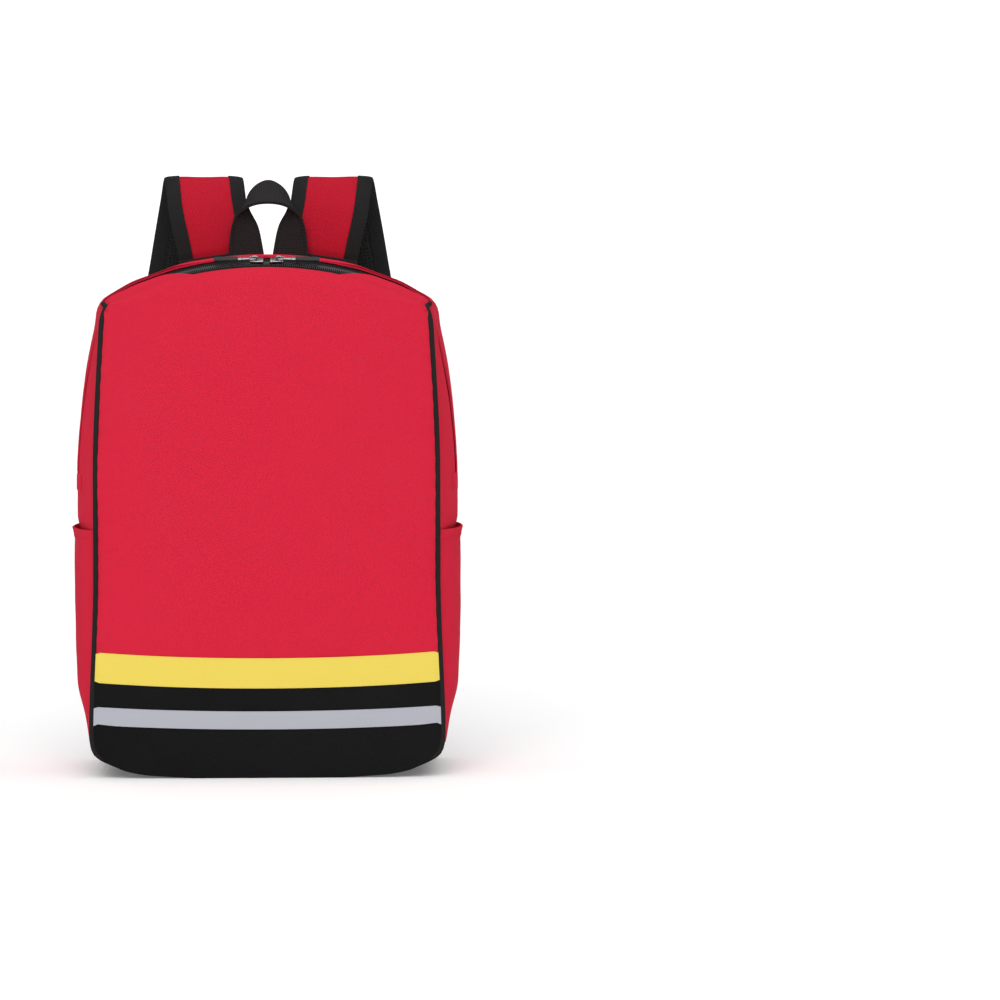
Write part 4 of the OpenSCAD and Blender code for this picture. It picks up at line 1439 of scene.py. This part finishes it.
# %% Back pad
PAD_VOXEL, PAD_AIR, PAD_CAP = 0.0055, 4.0, 0.0055
CHANNEL_DEEP, MIDDLE_DEEP = 0.0035, 0.0042
pad_low, pad_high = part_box("back_pad")
only(frame["nodes"]["back_pad"])
back_pad = frame["nodes"]["back_pad"].copy()
back_pad.data = back_pad.data.copy()
back_pad.parent = None
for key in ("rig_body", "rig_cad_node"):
    if key in back_pad:
        del back_pad[key]
bpy.context.scene.collection.objects.link(back_pad)
back_pad.name = back_pad.data.name = "back_pad_cushion"
pad_mid = (pad_low + pad_high) / 2
for v in back_pad.data.vertices:
    v.co.x = lerp(pad_mid.x, v.co.x, 0.975)
    v.co.z = lerp(pad_mid.z, v.co.z, 0.985)
    v.co.y = pad_low.y + 0.0006 + (v.co.y - pad_low.y) * 0.55
close_shell(back_pad)
apply_modifier(back_pad, "REMESH", mode="VOXEL", voxel_size=PAD_VOXEL)
start = [v.co.copy() for v in back_pad.data.vertices]
only(back_pad)
puff = back_pad.modifiers.new("puff", "CLOTH")
puff.settings.use_pressure = True
puff.settings.uniform_pressure_force = PAD_AIR
puff.settings.quality = 5
puff.settings.effector_weights.gravity = 0
for step in range(1, 21):
    bpy.context.scene.frame_set(step)
bpy.ops.object.modifier_apply(modifier="puff")
bpy.context.scene.frame_set(1)
for v, before in zip(back_pad.data.vertices, start):
    moved = v.co - before
    if moved.length > PAD_CAP:
        moved *= PAD_CAP / moved.length
    moved.y = max(moved.y, -0.0002)
    v.co = before + moved
apply_modifier(back_pad, "SUBSURF", levels=1, render_levels=1)

CHANNELS = [pad_low.z + (pad_high.z - pad_low.z) * k / 6 for k in range(1, 6)]
for v in back_pad.data.vertices:
    height = max(0, min(1, (v.co.y - pad_low.y - 0.002) / 0.003))
    groove = max(math.exp(-((v.co.z - z) / 0.0045) ** 2) for z in CHANNELS)
    middle = math.exp(-(v.co.x / 0.007) ** 2)
    v.co.y -= height * max(CHANNEL_DEEP * groove, MIDDLE_DEEP * middle)
    v.co.y = max(v.co.y, pad_low.y + 0.0002)
turn_outward(back_pad)
while back_pad.data.uv_layers:
    back_pad.data.uv_layers.remove(back_pad.data.uv_layers[0])
measure_uv(back_pad.data)
smooth(back_pad, 60)
dress(back_pad, BLACK_MESH, "pack", "back_pad")
print("back pad faces:", len(back_pad.data.polygons))

# %% Channel stitches
channel_rows = []
for z in CHANNELS:
    points = [(x, pad_low.y / MM + 4.2, z / MM) for x in range(-86, 87, 4)]
    channel_rows.append((points, [(0, 1, 0)] * len(points)))
channel_stitches = stitch_rows("back_pad_stitches", channel_rows, 3.6, 2.6, 0.6, 0.5)
dress(channel_stitches, BINDING, "pack", slot="black_mesh")

# %% [markdown]
# ## Inside
# The lining is a thin grey bag inside the walls, seen when the flap is folded down. Against the
# back stands a padded sleeve with a bound top edge, and a board stiffens the floor.


# %% Lining, sleeve and board
def lining_front(low, high, name, body, *nodes):
    def place(u, v):
        s = lerp(1, -1, u)
        x = (HALF_W - 8) * s
        top = min(high, outline_top(x) - 8)
        bottom = max(low, outline_bottom(x) + 8)
        z = lerp(bottom, top, v)
        return x, face_y(x, z) + 5.5 + ripple(x, 33, z, 24, 0.8), z

    cloth = lay_cloth(name, (40, 40), place, 0.5)
    return dress(cloth, LINING, body, *nodes)


lining_front(8, HINGE_Z, "lining_front_lower", "pack", "body_lining")
lining_front(HINGE_Z, 1000, "lining_front_upper", "fold", "flap_lining")
for name, sign in SIDES:
    lower = lay_cloth(f"lining_side_{name}", (40, 18), side_sheet(
        -sign, Q_ZIP_END, Q_BASE, lambda a, z: seam_y(z) + 6, lambda a, z: BACK_Y - 14, True), 0)
    for v in lower.data.vertices:
        v.co.x = -v.co.x - sign * 0.0045
    apply_modifier(lower, "SOLIDIFY", thickness=0.0005, offset=0)
    dress(lower, LINING, "pack", "body_lining")


WALL, FOAM_T, SLEEVE_GAP = 3, 5, 24
SLEEVE_HALF, SLEEVE_H = 118, 290


def sleeve_sheet(u, v):
    """Across the front of the sleeve, with its two sides turned back to the foam."""
    half, deep = SLEEVE_HALF, SLEEVE_GAP + WALL
    face_y0 = BACK_Y - WALL - FOAM_T - 1 - SLEEVE_GAP - WALL
    run = lerp(-(half + deep), half + deep, u)
    corner = max(0, abs(run) - half)
    x = math.copysign(min(half, abs(run)), run)
    y = face_y0 + corner
    z = lerp(7.5, SLEEVE_H, v)
    bow = 1.8 * math.cos(math.pi * 0.5 * x / half) * ease(v * 2)
    return x, y - bow + ripple(x, y, z, 35, 0.8), z


sew("sleeve_cloth", (76, 44), sleeve_sheet, 2.6, LINING, "pack", "inner_sleeve")


def sleeve_edge():
    top = [sleeve_sheet(i / 76, 1) for i in range(77)]
    return [(x, y + 0.8, SLEEVE_H + 2) for x, y, z in top]


sleeve_bound = lay_tube("sleeve_bound_edge", sleeve_edge(), 2.4, 10, 3.6)
dress(sleeve_bound, BINDING, "pack", "sleeve_binding")

for node, material in (("base_board", BOARD), ("back_foam", FOAM)):
    kept = frame["nodes"][node]
    kept.data.materials.clear()
    kept.data.materials.append(material)
print("inside made")

# %% [markdown]
# ## Floor, light and camera
# A pale floor and soft white light from the front show the cloth as a studio would. The camera
# stands low in front of the bag, a little to the right, with a long lens.

# %% Floor
bpy.ops.object.select_all(action="DESELECT")
bpy.ops.mesh.primitive_grid_add(x_subdivisions=4, y_subdivisions=4, size=60)
studio_floor = bpy.context.object
studio_floor.name = "studio_floor"
floor_paint, _, floor_shader = new_material("floor_paint")
floor_shader.inputs["Base Color"].default_value = (0.985, 0.985, 0.985, 1)
floor_shader.inputs["Roughness"].default_value = 0.9
floor_shader.inputs["Specular IOR Level"].default_value = 0.1
floor_shader.inputs["Emission Color"].default_value = (1, 1, 1, 1)
floor_shader.inputs["Emission Strength"].default_value = 0.12
studio_floor.data.materials.append(floor_paint)

# %% Light
world = bpy.data.worlds.new("studio")
bpy.context.scene.world = world
world.use_nodes = True
sky = world.node_tree.nodes["Background"]
sky.inputs["Color"].default_value = (1, 1, 1, 1)
ray = world.node_tree.nodes.new("ShaderNodeLightPath")
strength = math_node(world.node_tree, "MULTIPLY_ADD", ray.outputs["Is Camera Ray"], 1.0, 0.20)
world.node_tree.links.new(strength, sky.inputs["Strength"])


def stand(name, data, place, aim):
    """Stands a lamp or a camera at a place and points it."""
    obj = bpy.data.objects.new(name, data)
    bpy.context.scene.collection.objects.link(obj)
    obj.location = place
    obj.rotation_mode = "QUATERNION"
    obj.rotation_quaternion = (Vector(aim) - Vector(place)).to_track_quat("-Z", "Y")
    return obj


def add_light(name, kind, place, aim, power, **settings):
    lamp = bpy.data.lights.new(name, kind)
    lamp.energy = power
    for key, value in settings.items():
        setattr(lamp, key, value)
    stand(name, lamp, place, aim)


add_light("front_sun", "SUN", (-0.15, -3, 2.2), (0, 0, 0.2), 1.17, angle=0.9)
add_light("top_sun", "SUN", (0.1, -0.2, 3), (0, 0, 0), 1.75, angle=1.6)
add_light("soft_box", "AREA", (-0.7, -1.6, 1.5), (0, 0, 0.3), 3, size=0.9)

# %% Camera
TARGET = Vector((0, 0, 0.2268))
AZIMUTH, ELEVATION, DISTANCE = math.radians(1.0), math.radians(4.0), 3.5
FRAME_WIDTH, SIDE_STEP = 0.845, 0.196
back = Vector((math.sin(AZIMUTH) * math.cos(ELEVATION),
               -math.cos(AZIMUTH) * math.cos(ELEVATION), math.sin(ELEVATION)))
lens = bpy.data.cameras.new("camera")
lens.sensor_width = 36
lens.lens = 36 * DISTANCE / FRAME_WIDTH
lens.clip_end = 200
right = Vector((0, 0, 1)).cross(back).normalized()
bpy.context.scene.camera = stand("camera", lens, TARGET + back * DISTANCE,
                                 TARGET + right * SIDE_STEP)
